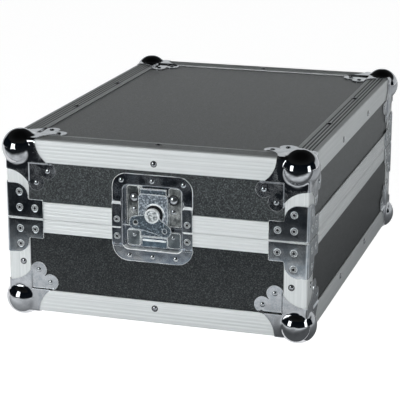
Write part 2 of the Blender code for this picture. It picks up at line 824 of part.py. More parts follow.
def hook_mesh():
    """The sliding hook plate, with the slot for the cam pin and a lip at each end."""
    section = [
        (HOOK_BACK, HOOK_BOTTOM),
        (HOOK_BACK, HOOK_TOP),
        (HOOK_TOP_LIP_FRONT, HOOK_TOP),
        (HOOK_TOP_LIP_FRONT, HOOK_TOP - HOOK_SHEET),
        (HOOK_FRONT, HOOK_TOP - HOOK_SHEET),
        (HOOK_FRONT, HOOK_BOTTOM + HOOK_SHEET),
        (HOOK_LIP_FRONT, HOOK_BOTTOM + HOOK_SHEET),
        (HOOK_LIP_FRONT, HOOK_BOTTOM),
    ]
    body = prism(section, "X", -HOOK_HALF_WIDTH, HOOK_HALF_WIDTH)
    middle = PIVOT_UP + CAM_OFFSET
    low = middle - SLOT_HALF_HEIGHT
    high = middle + SLOT_HALF_HEIGHT
    slot = rounded_rectangle(-SLOT_HALF_WIDTH, SLOT_HALF_WIDTH, low, high, SLOT_RADIUS, SLOT_RADIUS, 2)
    return take_mesh(cut(body, prism(slot, "Y", 0.0, OVER)))


def wing_outline():
    """The butterfly: narrow above the pivot, two round lobes below it."""
    reach = WING_HOLE_SPACING / 2
    drop = -WING_HOLE_DROP
    right = [WING_SHOULDER, *arc((reach, drop), WING_LOBE_RADIUS, 42, -90, 6)]
    left = [(-x, z) for x, z in reversed(right)]
    return [*right, (0.0, drop - WING_LOBE_RADIUS + WING_HEM_RISE), *left]


def knob():
    """The turned knob with its dished face, standing on the wing."""
    profile = [
        (0.0, KNOB_FACE_HEIGHT),
        (KNOB_FACE_RADIUS, KNOB_DISH_HEIGHT),
        (KNOB_RIM_INNER, KNOB_RIM_HEIGHT),
        (KNOB_RIM_OUTER, KNOB_RIM_HEIGHT),
        (KNOB_RADIUS, KNOB_SIDE_HEIGHT),
        (KNOB_RADIUS, 0.0),
        (0.0, 0.0),
    ]
    outward = Matrix.Translation((0.0, KNOB_SEAT, 0.0)) @ Matrix.Rotation(QUARTER, 4, "X")
    return moved(turned(profile, 18), outward)


def wing_mesh():
    """Wing, knob, shaft and cam pin, about the pivot."""
    tilt = Matrix.Rotation(math.radians(WING_TILT), 4, "Y")
    body = prism(wing_outline(), "Y", WING_FRONT, WING_BACK)
    for sign in (-1, 1):
        centre = (sign * WING_HOLE_SPACING / 2, -WING_HOLE_DROP)
        cut(body, cylinder("Y", centre, WING_HOLE_RADIUS, -OVER, OVER, 12))
    moved(body, tilt)
    join(body, knob())
    join(body, cylinder("Y", (0.0, 0.0), SHAFT_RADIUS, WING_BACK - LAP / 2, SHAFT_END, 14))
    join(body, cylinder("Y", (0.0, CAM_OFFSET), CAM_PIN_RADIUS, CAM_PIN_FROM, CAM_PIN_END, 10))
    return take_mesh(body)


def make_latches():
    meshes = {
        "upper_dish": upper_dish_mesh(),
        "lower_dish": lower_dish_mesh(),
        "mechanism": mechanism_mesh(),
        "hook": hook_mesh(),
        "wing": wing_mesh(),
    }
    parts = []
    for side, sign, turn in (("front", -1, 0.0), ("rear", 1, math.pi)):
        for piece, mesh in meshes.items():
            up = SPLIT_Z + PIVOT_UP if piece == "wing" else SPLIT_Z
            location = (-sign * LATCH_X, sign * HALF_DEPTH, up)
            parts.append(place(f"{side}_latch_{piece}", mesh, ZINC, location, (0, 0, turn)))
    return parts


# Side handle, on the left: the same local axes as the latch, about the middle of the dish

HANDLE_PLACE = (-HALF_WIDTH, 0.0, CASE_BOTTOM + HANDLE_UP)
HANDLE_TURN = (0, 0, -QUARTER)


def handle_opening():
    """The hole for the handle dish in the left panel of the base."""
    x = -HALF_WIDTH + PANEL_OUTER + PANEL_THICKNESS / 2
    y = HANDLE_RECESS_X + RECESS_HOLE
    z = HANDLE_RECESS_Z + RECESS_HOLE
    middle = CASE_BOTTOM + HANDLE_UP
    return box((x - PANEL_THICKNESS, -y, middle - z), (x + PANEL_THICKNESS, y, middle + z))


def handle_dish_mesh():
    """The riveted dish with two lugs that carry the bail's pins."""
    x = HANDLE_HALF_WIDTH
    z = HANDLE_HALF_HEIGHT
    radius = HANDLE_FLANGE_RADIUS
    dish = prism(rounded_rectangle(-x, x, -z, z, radius, radius, 4), "Y", EAR_OUTER, EAR_INNER)
    x = HANDLE_RECESS_X + SHEET
    z = HANDLE_RECESS_Z + SHEET
    radius = HANDLE_RECESS_RADIUS + SHEET
    pan = rounded_rectangle(-x, x, -z, z, radius, radius, 3)
    join(dish, prism(pan, "Y", EAR_OUTER + SHEET / 2, RECESS_BACK))
    x = HANDLE_RECESS_X
    z = HANDLE_RECESS_Z
    radius = HANDLE_RECESS_RADIUS
    cut(dish, prism(rounded_rectangle(-x, x, -z, z, radius, radius, 3), "Y", -OVER, RECESS_DEPTH))
    seat = RECESS_DEPTH + SEAT_LAP
    for sign in (-1, 1):
        left = min(sign * LUG_FROM, sign * LUG_TO)
        lug = [
            (seat, BAIL_PIVOT_UP - LUG_RADIUS),
            (seat, BAIL_PIVOT_UP + LUG_RADIUS),
            *arc((BAIL_DEPTH, BAIL_PIVOT_UP), LUG_RADIUS, 90, 270, 8),
        ]
        join(dish, prism(lug, "X", left, left + LUG_TO - LUG_FROM))
    bore = cylinder("X", (BAIL_DEPTH, BAIL_PIVOT_UP), BAIL_ROD + GAP, -LUG_TO - GAP, LUG_TO + GAP, 16)
    return take_mesh(cut(dish, bore))


def tube(points, radius):
    """A bent rod through the points."""
    curve = bpy.data.curves.new("rod", "CURVE")
    curve.dimensions = "3D"
    curve.bevel_depth = radius
    curve.bevel_resolution = 2
    curve.use_fill_caps = True
    spline = curve.splines.new("POLY")
    spline.points.add(len(points) - 1)
    for point, position in zip(spline.points, points):
        point.co = (*position, 1.0)
    source = bpy.data.objects.new("rod", curve)
    CUTTERS.objects.link(source)
    mesh = weld(evaluated_mesh(source))
    bpy.data.objects.remove(source, do_unlink=True)
    return working_object(mesh)


def make_handle():
    """Dish, bail and grip. The bail and grip turn about the pins in the dish's lugs."""
    dish = place("handle_dish", handle_dish_mesh(), ZINC, HANDLE_PLACE, HANDLE_TURN)
    eye_bend = LUG_FROM - BAIL_HALF_WIDTH - BAIL_EYE_CLEARANCE
    bend = BAIL_BEND
    side = BAIL_HALF_WIDTH
    drop = -BAIL_DROP
    right = [
        (LUG_TO, 0.0),
        *arc((side + eye_bend, -eye_bend), eye_bend, 90, 180, 3),
        *arc((side - bend, drop + bend), bend, 0, -90, 3),
    ]
    path = [(x, 0.0, z) for x, z in right]
    path.extend((-x, 0.0, z) for x, z in reversed(right))
    pivot = Vector(HANDLE_PLACE) + Vector((BAIL_DEPTH, 0.0, BAIL_PIVOT_UP))
    bail = finish("handle_bail", tube(path, BAIL_ROD), ZINC, pivot, HANDLE_TURN)
    grip = cylinder("X", (0.0, drop), GRIP_RADIUS, -GRIP_HALF_LENGTH, GRIP_HALF_LENGTH, 20)
    round_edges(grip, GRIP_ROUND, 2)
    over = GRIP_HALF_LENGTH + OVER
    cut(grip, cylinder("X", (0.0, drop), BAIL_ROD + GAP, -over, over, 14))
    grip = finish("handle_grip", grip, RUBBER, pivot, HANDLE_TURN)
    hang_on("handle_pivot", pivot, [bail, grip])
    return [dish, bail, grip]


# Foam lining


def make_foam():
    """A tray in the base with a bay for the mixer and one for its cables, and a pad in the lid."""
    x = HALF_WIDTH - FOAM_CLEARANCE
    y = HALF_DEPTH - FOAM_CLEARANCE
    low = CASE_BOTTOM + PANEL_INNER + GAP
    top = SPLIT_Z - FOAM_BELOW_RIM
    bed = low + FOAM_BED
    inside_x = x - FOAM_WALL
    inside_y = y - FOAM_WALL
    divider = -inside_y + MIXER_BAY_DEPTH
    tray = box((-x, -y, low), (x, y, top))
    cut(tray, box((-inside_x, -inside_y, bed), (inside_x, divider, top + OVER)))
    cut(tray, box((-inside_x, divider + FOAM_WALL, bed), (inside_x, inside_y, top + OVER)))
    roof = CASE_TOP - PANEL_INNER - GAP
    pad = box((-x, -y, roof - LID_FOAM), (x, y, roof))
    return [
        finish("base_foam_tray", tray, FOAM, smooth=False),
        finish("lid_foam_pad", pad, FOAM, smooth=False),
    ]


def main():
    parts = make_panels()
    parts += make_edges()
    parts += make_posts()
    parts += make_rims()
    parts += make_ball_corners()
    parts += make_braces()
    parts += make_latches()
    parts += make_handle()
    parts += make_foam()
    lid = [part for part in parts if part.name.startswith("lid_")]
    lid += [part for part in parts if part.name.endswith(("upper_dish", "mechanism", "hook", "wing"))]
    hang_on("lid_frame", (0.0, 0.0, SPLIT_Z), lid)


main()
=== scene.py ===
# Looks of the mixer flight case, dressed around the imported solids.
# Shapes are drawn in millimetres and placed in the row frame in metres. The front faces -Y.
import math

import bmesh
import bpy
import numpy as np
from mathutils import Matrix, Vector
from mathutils.geometry import delaunay_2d_cdt


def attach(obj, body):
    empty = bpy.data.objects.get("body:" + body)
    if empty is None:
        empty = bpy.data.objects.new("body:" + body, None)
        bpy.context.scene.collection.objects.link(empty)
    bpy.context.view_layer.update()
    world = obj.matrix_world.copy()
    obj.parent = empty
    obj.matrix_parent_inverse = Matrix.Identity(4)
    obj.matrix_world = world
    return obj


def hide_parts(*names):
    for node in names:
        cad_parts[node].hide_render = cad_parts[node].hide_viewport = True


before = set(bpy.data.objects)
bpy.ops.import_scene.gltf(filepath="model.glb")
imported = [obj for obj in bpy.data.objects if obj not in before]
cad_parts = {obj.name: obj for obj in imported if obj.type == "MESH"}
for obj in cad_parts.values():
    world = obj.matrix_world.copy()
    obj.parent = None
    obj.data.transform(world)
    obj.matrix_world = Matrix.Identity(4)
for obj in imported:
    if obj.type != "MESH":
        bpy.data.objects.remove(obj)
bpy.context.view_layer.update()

# Sizes of the case, the same as the solids
HALF_WIDTH = 200.0
HALF_DEPTH = 275.0
BOTTOM = 9.6
SPLIT = 136.1
TOP = 241.6
EDGE_RADIUS = 3.0
FLANGE = 30.0
PROFILE_END = 30.6
WALL = 1.6
BASE_BAND = 18.0
LID_BAND = 23.0
LATCH_X = -2.0
PIVOT_UP = 17.5

# Pressed fittings: their thickness, and how far inside the case's box their outer faces lie, on the
# edging and on the panels
SHEET = 1.2
PLATE = -1.5
EAR = 0.4

QUARTER = math.pi / 2

# Standing edges: name, side in x, side in y, quarter turns from the front left one
CORNERS = (
    ("front_left", -1, -1, 0),
    ("front_right", 1, -1, 1),
    ("rear_right", 1, 1, 2),
    ("rear_left", -1, 1, 3),
)


def at(x, y, z):
    return Matrix.Translation((x, y, z))


def turned(quarters, axis):
    return Matrix.Rotation(quarters * QUARTER, 4, axis)


def scaled(x, y, z):
    return Matrix.Diagonal((x, y, z, 1.0))


MILLI = scaled(0.001, 0.001, 0.001)
HERE = Matrix.Identity(4)


# Node-based materials


class Graph:
    """Shader nodes added one by one. An input takes a value or another node's output."""

    def __init__(self, tree):
        self.tree = tree

    def feed(self, socket, value):
        if isinstance(value, bpy.types.NodeSocket):
            self.tree.links.new(value, socket)
        else:
            colour = isinstance(value, tuple) and socket.type == "RGBA"
            socket.default_value = (*value, 1.0) if colour else value

    def fill(self, node, **inputs):
        """Feeds inputs by their names, with _ for a space."""
        for name, value in inputs.items():
            self.feed(node.inputs[name.replace("_", " ")], value)
        return node

    def add(self, kind, settings=(), **inputs):
        node = self.tree.nodes.new("ShaderNode" + kind)
        for key, value in dict(settings).items():
            setattr(node, key, value)
        return self.fill(node, **inputs)

    def join(self, kind, settings, *values):
        """A node whose inputs are given in order."""
        node = self.add(kind, settings)
        for socket, value in zip(node.inputs, values):
            self.feed(socket, value)
        return node

    def maths(self, operation, *values):
        return self.join("Math", {"operation": operation}, *values).outputs["Value"]

    def mix(self, factor, first, second):
        node = self.add("Mix", {"data_type": "RGBA"})
        for index, value in ((0, factor), (6, first), (7, second)):
            self.feed(node.inputs[index], value)
        return node.outputs[2]

    def bands(self, source, stops, interpolation="LINEAR"):
        """source picks a colour from stops, each (position, colour)."""
        node = self.add("ValToRGB", Fac=source)
        node.color_ramp.interpolation = interpolation
        elements = node.color_ramp.elements
        while len(elements) < len(stops):
            elements.new(0.5)
        for element, (position, colour) in zip(elements, stops):
            element.position = position
            element.color = (*colour, 1.0)
        return node.outputs["Color"]

    def ramp(self, source, low, high, low_value, high_value):
        """source from low to high becomes low_value to high_value: numbers or colours."""
        if isinstance(low_value, tuple):
            return self.bands(source, ((low, low_value), (high, high_value)))
        limits = {"From_Min": low, "From_Max": high, "To_Min": low_value, "To_Max": high_value}
        return self.add("MapRange", Value=source, **limits).outputs["Result"]


class Finish(Graph):
    """A material on the case. Object coordinates are in metres."""

    def __init__(self, name, colour, roughness, metallic=0.0, **inputs):
        self.material = bpy.data.materials.new(name)
        self.material.use_nodes = True
        super().__init__(self.material.node_tree)
        self.shader = self.tree.nodes["Principled BSDF"]
        self.paint(Base_Color=colour, Roughness=roughness, Metallic=metallic, **inputs)
        self.place = self.add("TexCoord").outputs["Object"]
        self.height = None

    def paint(self, **inputs):
        self.fill(self.shader, **inputs)

    def noise(self, scale, detail=3.0, roughness=0.55, stretch=None):
        place = self.place
        if stretch:
            place = self.add("Mapping", Vector=place, Scale=stretch).outputs["Vector"]
        node = self.add("TexNoise", Vector=place, Scale=scale, Detail=detail, Roughness=roughness)
        return node.outputs["Fac"]

    def cells(self, scale):
        return self.add("TexVoronoi", Vector=self.place, Scale=scale).outputs

    def flecks(self, scale):
        """An even random value for each cell."""
        return self.add("SeparateColor", Color=self.cells(scale)["Color"]).outputs["Red"]

    def edges(self, radius, low=0.03, high=0.22):
        """Near 1 within a distance in millimetres of an edge or a sharp bend, 0 on the flat."""
        soft = self.add("Bevel", {"samples": 6}, Radius=radius * 0.001).outputs["Normal"]
        true = self.add("NewGeometry").outputs["Normal"]
        meet = self.join("VectorMath", {"operation": "DOT_PRODUCT"}, soft, true).outputs["Value"]
        return self.ramp(meet, 1.0 - low, 1.0 - high, 0.0, 1.0)

    def bump(self, source, distance):
        """Adds a bump whose height is given in millimetres."""
        node = self.add("Bump", Height=source, Strength=1.0, Distance=distance * 0.001)
        if self.height:
            self.fill(node, Normal=self.height)
        self.height = node.outputs["Normal"]
        self.paint(Normal=self.height)
        return self


def laminate(name, shade):
    """Dark plastic laminate with a pebbled grain, paler specks and faint scuffs. A shade below 1 makes a
    darker copy, which paints shade on the lower panels.
    """
    m = Finish(name, (0.020, 0.022, 0.023), 0.36, Specular_IOR_Level=0.35)
    fleck = m.flecks(1150.0)
    grain = m.noise(760.0, 3.0, 0.6)
    broad = m.noise(9.0)
    scuff = m.noise(60.0, 6.0, 0.7, (1.0, 4.0, 1.0))
    ground = m.ramp(grain, 0.38, 0.64, (0.002, 0.003, 0.0035), (0.032, 0.036, 0.038))
    ground = m.mix(m.ramp(broad, 0.35, 0.70, 0.0, 0.25), ground, (0.020, 0.022, 0.023))
    # A shade below 1 darkens the ground: painted shade.
    ground = m.mix(1.0 - shade, ground, (0.003, 0.004, 0.005))
    tone = m.mix(m.ramp(fleck, 0.62, 1.0, 0.0, 0.4 + 0.5 * shade), ground, (0.120, 0.130, 0.134))
    tone = m.mix(m.ramp(scuff, 0.68, 0.82, 0.0, 0.25), tone, (0.08, 0.08, 0.078))
    m.paint(Base_Color=tone, Roughness=m.ramp(grain, 0.3, 0.75, 0.27, 0.39))
    return m.bump(fleck, 0.020).bump(grain, 0.065).material


def painted_groove_shade():
    """Painted shade for aluminium deep in a drawn groove: a dark tone that stands for the shade there."""
    m = Finish("aluminium_painted_groove_shade", (0.10, 0.105, 0.11), 0.6, 0.4)
    m.paint(Base_Color=m.ramp(m.noise(90.0, 4.0), 0.3, 0.7, (0.018, 0.020, 0.021), (0.07, 0.073, 0.076)))
    return m.material


def aluminium(name, stretch):
    """Natural anodised extrusion with fine drawing lines along its length and brighter arrises."""
    m = Finish(name, (0.78, 0.79, 0.80), 0.46, 0.50)
    lines = m.noise(1.0, 2.0, 0.5, stretch)
    broad = m.noise(16.0)
    tone = m.ramp(lines, 0.25, 0.75, (0.60, 0.615, 0.62), (0.76, 0.77, 0.775))
    tone = m.mix(m.ramp(broad, 0.40, 0.75, 0.0, 0.30), tone, (0.60, 0.615, 0.62))
    wear = m.maths("MULTIPLY", m.edges(0.7), m.ramp(broad, 0.3, 0.7, 0.2, 0.7))
    tone = m.mix(wear, tone, (0.86, 0.865, 0.87))
    m.paint(Base_Color=tone, Roughness=m.ramp(lines, 0.2, 0.8, 0.40, 0.54))
    return m.bump(lines, 0.035).material


def chrome(name, dulled, rubbed, ripple, dark=(0.44, 0.45, 0.475)):
    """Polished plating with waves, smears, hairline scratches, rubbed edges and hazy patches.

    dulled and rubbed are how far its patches and its edges have turned matt, ripple is the depth of
    its waves in millimetres.
    """
    m = Finish(name, (0.50, 0.51, 0.54), 0.05, 1.0)
    smear = m.noise(140.0, 5.0, 0.65)
    haze = m.ramp(m.noise(58.0, 6.0, 0.66), 0.42, 0.72, 0.0, dulled)
    hair = m.noise(1.0, 3.0, 0.6, (2600.0, 240.0, 2600.0))
    patches = m.ramp(m.noise(35.0, 2.0), 0.38, 0.60, 0.4 * rubbed, rubbed)
    wear = m.maths("MULTIPLY", m.edges(1.1, 0.02, 0.12), patches)
    tone = m.ramp(smear, 0.30, 0.80, (0.56, 0.565, 0.59), dark)
    rough = m.maths("ADD", m.ramp(smear, 0.45, 0.85, 0.025, 0.14), m.ramp(hair, 0.60, 0.80, 0.0, 0.05))
    m.paint(
        Base_Color=m.mix(m.maths("MULTIPLY", wear, 0.8), tone, (0.84, 0.85, 0.86)),
        Metallic=m.ramp(m.maths("MAXIMUM", wear, haze), 0.0, 1.0, 1.0, 0.5),
        Roughness=m.maths("ADD", rough, m.maths("MULTIPLY", wear, 0.22)),
    )
    return m.bump(m.noise(55.0, 1.0, 0.4), ripple).bump(hair, 0.006).material


def zinc(
    name, dark, light, spangle, waves, rough, rub, metal=1.0, hard=0.18, ripple=0.12, haze=0.0, least=0.35
):
    """Bright zinc plate: a bluish spangle over a slightly wavy sheet, rubbed bright along its edges.

    spangle and waves are how fine its blotches and its sheet's waves are, and rough is the roughness
    of its dark and of its light blotches. hard is how wide their tones blend: small makes them crisp.
    rub is the reach of the rubbed edges and ripple the depth of the waves, both in millimetres. haze
    is how far soft patches have turned matt. least is the least that any stretch of edge is rubbed.
    """
    m = Finish(name, light, rough[0], metal)
    blotch = m.noise(spangle, 5.0, 0.65)
    fleck = m.flecks(spangle * 5.0)
    wear = m.maths("MULTIPLY", m.edges(rub, 0.008, 0.035), m.ramp(m.noise(32.0, 2.0), 0.36, 0.58, least, 1.0))
    dull = m.ramp(m.noise(48.0, 5.0, 0.66), 0.42, 0.72, 0.0, haze)
    tone = m.ramp(blotch, 0.5 - hard, 0.5 + hard, dark, light)
    tone = m.mix(m.ramp(fleck, 0.0, 1.0, 0.0, 0.30), tone, dark)
    m.paint(
        Base_Color=m.mix(m.maths("MULTIPLY", wear, 0.97), tone, (0.96, 0.97, 0.98)),
        Metallic=m.ramp(m.maths("MAXIMUM", wear, dull), 0.0, 1.0, metal, 0.06),
        Roughness=m.maths("ADD", m.ramp(blotch, 0.30, 0.75, *rough), m.maths("MULTIPLY", wear, 0.30)),
    )
    return m.bump(m.noise(waves, 2.0, 0.5), ripple).bump(fleck, 0.003).material


def rivet_satin():
    """Satin rivet heads, slightly mottled and brighter on their rims."""
    m = Finish("rivet_satin", (0.74, 0.76, 0.77), 0.26, 0.72)
    blotch = m.noise(600.0, 4.0, 0.6)
    tone = m.ramp(blotch, 0.35, 0.68, (0.44, 0.47, 0.49), (0.82, 0.84, 0.86))
    tone = m.mix(m.maths("MULTIPLY", m.edges(0.7, 0.03, 0.2), 0.6), tone, (0.92, 0.93, 0.94))
    m.paint(Base_Color=tone, Roughness=m.ramp(blotch, 0.3, 0.7, 0.22, 0.40))
    return m.bump(blotch, 0.02).material


def foam():
    """Open-cell foam, matt charcoal."""
    m = Finish("foam_charcoal", (0.030, 0.030, 0.033), 0.97, Sheen_Weight=0.25, Sheen_Roughness=0.6)
    pores = m.cells(700.0)["Distance"]
    m.paint(Base_Color=m.ramp(pores, 0.10, 0.62, (0.026, 0.026, 0.029), (0.110, 0.110, 0.116)))
    return m.bump(pores, 0.55).bump(m.noise(240.0, 4.0, 0.7), 0.35).material


def rubber():
    """Matt black moulded rubber, greyer where it is handled."""
    m = Finish("grip_rubber", (0.020, 0.020, 0.021), 0.65, Specular_IOR_Level=0.4)
    wear = m.noise(90.0, 5.0, 0.6)
    tone = m.ramp(wear, 0.35, 0.75, (0.014, 0.014, 0.015), (0.050, 0.050, 0.050))
    tone = m.mix(m.maths("MULTIPLY", m.edges(1.0), 0.5), tone, (0.10, 0.10, 0.10))
    m.paint(Base_Color=tone, Roughness=m.ramp(wear, 0.3, 0.7, 0.52, 0.78))
    return m.bump(m.noise(1400.0, 2.0), 0.05).material


def painted_shade_finish():
    """Painted shade: a near-black tone for the shade inside rivets and the bore, and in rings round some
    heads.
    """
    m = Finish("painted_shade_hollow", (0.01, 0.01, 0.011), 0.7, Specular_IOR_Level=0.2)
    m.paint(Base_Color=m.ramp(m.noise(700.0), 0.3, 0.7, (0.004, 0.004, 0.005), (0.016, 0.016, 0.018)))
    return m.material


# The base's panels get a darker copy of the laminate, a painted shade.
LAMINATES = {"lid": laminate("laminate_lid", 1.0), "base": laminate("laminate_base_painted_shade", 0.20)}
ALU_X = aluminium("aluminium_along_x", (3.0, 1100.0, 1100.0))
ALU_Y = aluminium("aluminium_along_y", (1100.0, 3.0, 1100.0))
ALU_Z = aluminium("aluminium_upright", (1100.0, 1100.0, 3.0))
ALU_RIM = aluminium("aluminium_rim", (3.0, 3.0, 1100.0))
# Painted shade for the grooves on top of the lid
GROOVE_PAINTED_SHADE = painted_groove_shade()
CHROME = chrome("ball_chrome", dulled=0.0, rubbed=0.7, ripple=0.10)
PLATE_CHROME = chrome("plate_chrome", dulled=0.42, rubbed=1.0, ripple=0.70, dark=(0.37, 0.40, 0.43))
BRACE_ZINC = zinc(
    "brace_zinc", (0.34, 0.385, 0.43), (0.62, 0.63, 0.645), 60.0, 45.0, (0.05, 0.12), 1.0,
    ripple=0.16, haze=0.06,
)
DISH_ZINC = zinc(
    "dish_zinc", (0.30, 0.35, 0.42), (0.62, 0.635, 0.655), 38.0, 42.0, (0.05, 0.15), 1.3,
    ripple=0.42, haze=0.14, least=0.25,
)
LIP_ZINC = zinc(
    "lip_zinc", (0.50, 0.53, 0.58), (0.72, 0.74, 0.77), 90.0, 60.0, (0.08, 0.18), 0.2, metal=0.96, ripple=0.20
)
PAD_ZINC = zinc(
    "pad_zinc", (0.14, 0.17, 0.19), (0.46, 0.50, 0.52), 90.0, 70.0, (0.14, 0.28), 1.4,
    metal=0.82, ripple=0.30, least=0.9,
)
KEEPER_ZINC = zinc(
    "keeper_zinc", (0.07, 0.11, 0.15), (0.26, 0.34, 0.41), 120.0, 90.0, (0.16, 0.30), 0.5,
    metal=0.78, ripple=0.20,
)
WING_ZINC = zinc(
    "wing_zinc", (0.03, 0.05, 0.075), (0.30, 0.36, 0.41), 430.0, 60.0, (0.16, 0.34), 1.1,
    metal=0.68, hard=0.15, ripple=0.40, least=0.8,
)
BRIDGE_ZINC = zinc(
    "bridge_zinc", (0.09, 0.12, 0.16), (0.56, 0.61, 0.66), 420.0, 70.0, (0.18, 0.36), 1.6,
    metal=0.62, hard=0.16, ripple=0.45,
)
PLATE_ZINC = zinc(
    "plate_zinc", (0.10, 0.115, 0.12), (0.74, 0.76, 0.75), 62.0, 60.0, (0.14, 0.30), 1.4,
    metal=0.74, hard=0.10, ripple=0.35, least=0.8,
)
KNOB_ZINC = zinc(
    "knob_zinc", (0.14, 0.16, 0.17), (0.74, 0.76, 0.77), 300.0, 220.0, (0.20, 0.36), 0.8,
    metal=0.45, hard=0.12,
)
# A bright, half-matt zinc that paints highlights on bends, rims, the keeper's bar, the knob's rim and an arc
# of the collar
HIGHLIGHT_PAINT_ZINC = zinc(
    "highlight_paint_zinc", (0.60, 0.62, 0.64), (0.93, 0.94, 0.95), 160.0, 120.0, (0.20, 0.30), 0.8, metal=0.28
)
RIVET_STEEL = zinc(
    "rivet_steel", (0.46, 0.48, 0.51), (0.70, 0.72, 0.74), 260.0, 200.0, (0.07, 0.17), 0.4, metal=0.96
)
RIVET_SATIN = rivet_satin()
FOAM = foam()
RUBBER = rubber()
# A near-black finish that paints shade in hollows, grooves and rings round heads
DARK_PAINTED_SHADE = painted_shade_finish()


# Building blocks, in millimetres


def linked(name, data):
    item = bpy.data.objects.new(name, data)
    bpy.context.scene.collection.objects.link(item)
    return item


def mesh_from(form):
    mesh = bpy.data.meshes.new("piece")
    form.to_mesh(mesh)
    form.free()
    return mesh


def outward(form):
    """The form's mesh, with its faces turned outwards."""
    bmesh.ops.recalc_face_normals(form, faces=form.faces)
    return mesh_from(form)


def quads(form, rows, closed=False):
    """Faces between successive rows of points. Gives the rows of vertices and the rows of faces."""
    grid = [[form.verts.new(point) for point in row] for row in rows]
    count = len(grid[0])
    pairs = [(index, (index + 1) % count) for index in range(count if closed else count - 1)]
    faces = []
    for upper, lower in zip(grid, grid[1:]):
        faces.append([form.faces.new((upper[a], upper[b], lower[b], lower[a])) for a, b in pairs])
    return grid, faces


def skin(rows, closed=False, capped=False):
    """A closed surface through rows of points, which faces outwards."""
    form = bmesh.new()
    grid, _ = quads(form, rows, closed)
    if capped:
        form.faces.new(grid[0])
        form.faces.new(reversed(grid[-1]))
    bmesh.ops.remove_doubles(form, verts=form.verts, dist=0.0005)
    bmesh.ops.dissolve_degenerate(form, edges=form.edges, dist=0.0003)
    return outward(form)


def evaluated(mesh, modifiers):
    """The mesh with modifiers applied: each is (kind, settings)."""
    item = linked("shape", mesh)
    for kind, settings in modifiers:
        modifier = item.modifiers.new(kind, kind)
        for key, value in settings.items():
            setattr(modifier, key, value)
    bpy.context.view_layer.update()
    result = bpy.data.meshes.new_from_object(item.evaluated_get(bpy.context.evaluated_depsgraph_get()))
    bpy.data.objects.remove(item, do_unlink=True)
    return result


def bevel_step(width, segments, angle):
    limit = math.radians(angle)
    return "BEVEL", {"width": width, "segments": segments, "limit_method": "ANGLE", "angle_limit": limit}


def bevelled(mesh, width, segments=2, angle=40.0):
    return evaluated(mesh, [bevel_step(width, segments, angle)])


def carved(mesh, *cutters):
    """The mesh with other closed meshes cut out of it."""
    for cutter in cutters:
        tool = linked("cutter", cutter)
        mesh = evaluated(mesh, [("BOOLEAN", {"operation": "DIFFERENCE", "solver": "EXACT", "object": tool})])
        bpy.data.objects.remove(tool, do_unlink=True)
    return mesh


def tagged(mesh, index, chosen=lambda x, y, z: True):
    """The mesh with one of its piece's finishes on the faces whose middle is chosen, or on all."""
    for polygon in mesh.polygons:
        if chosen(*polygon.center):
            polygon.material_index = index
    return mesh


def merged(parts):
    """One mesh from (mesh, matrix) pairs."""
    form = bmesh.new()
    for mesh, matrix in parts:
        before = len(form.verts)
        form.from_mesh(mesh)
        form.verts.ensure_lookup_table()
        bmesh.ops.transform(form, matrix=matrix, verts=form.verts[before:])
    return mesh_from(form)


def circle(radius, steps):
    """Points all round, the first one not repeated."""
    turns = [2 * math.pi * step / steps for step in range(steps)]
    return [(radius * math.cos(turn), radius * math.sin(turn)) for turn in turns]


def arc(centre, radius, start, end, steps):
    points = []
    for step in range(steps + 1):
        angle = math.radians(start + (end - start) * step / steps)
        points.append((centre[0] + radius * math.cos(angle), centre[1] + radius * math.sin(angle)))
    return points


def rounded(left, right, bottom, top, radii, steps=6):
    """A rounded rectangle. radii are for the top right, top left, bottom left and bottom right."""
    points = []
    for (x, z, sx, sz), radius, start in zip(
        ((right, top, -1, -1), (left, top, 1, -1), (left, bottom, 1, 1), (right, bottom, -1, 1)),
        radii,
        (0, 90, 180, 270),
    ):
        if radius:
            points.extend(arc((x + sx * radius, z + sz * radius), radius, start, start + 90, steps))
        else:
            points.append((x, z))
    return points


def mirror(points):
    """The same points on the other side of x = 0, from last to first."""
    return [(-x, z) for x, z in reversed(points)]


ALONG = {"X": lambda u, v, w: (w, u, v), "Y": lambda u, v, w: (u, w, v), "Z": lambda u, v, w: (u, v, w)}


def prism(outline, axis, low, high):
    """A flat outline made solid along an axis."""
    rows = [[ALONG[axis](u, v, w) for u, v in outline] for w in (low, high)]
    return skin(rows, closed=True, capped=True)


def block(low, high):
    return prism(rounded(low[0], high[0], low[1], high[1], (0,) * 4), "Z", low[2], high[2])


def lathe(profile, steps=32):
    """Turned about -Y, so that it stands on a face that looks to the front. profile: (radius, height)."""
    rows = [[(r * x, -h, r * z) for r, h in profile] for x, z in circle(1.0, steps)]
    return skin([*rows, rows[0]])


def inside(point, outline):
    x, y = point
    odd = False
    for (ax, ay), (bx, by) in zip(outline, outline[1:] + outline[:1]):
        if (ay > y) != (by > y) and x < (bx - ax) * (y - ay) / (by - ay) + ax:
            odd = not odd
    return odd


def near(point, outline, distance):
    p = Vector(point)
    for a, b in zip(outline, outline[1:] + outline[:1]):
        a = Vector(a)
        run = Vector(b) - a
        t = max(0.0, min(1.0, (p - a).dot(run) / max(run.length_squared, 1e-9)))
        if (a + run * t - p).length < distance:
            return True
    return False


def within(points, outline, margin):
    return [point for point in points if inside(point, outline) and not near(point, outline, margin)]


def web(outline, holes, points=()):
    """Triangles that fill a flat outline, by way of extra points inside it."""
    loops = [list(outline), *[list(hole) for hole in holes]]
    coords = []
    edges = []
    for loop in loops:
        first = len(coords)
        coords.extend(Vector(p) for p in loop)
        edges.extend((first + i, first + (i + 1) % len(loop)) for i in range(len(loop)))
    coords.extend(Vector(p) for p in points)
    verts, _, faces, _, _, _ = delaunay_2d_cdt(coords, edges, [], 0, 1e-4)
    kept = []
    for face in faces:
        middle = sum((verts[i] for i in face), Vector((0.0, 0.0))) / len(face)
        if inside(middle, loops[0]) and not any(inside(middle, loop) for loop in loops[1:]):
            kept.append(face)
    return verts, kept


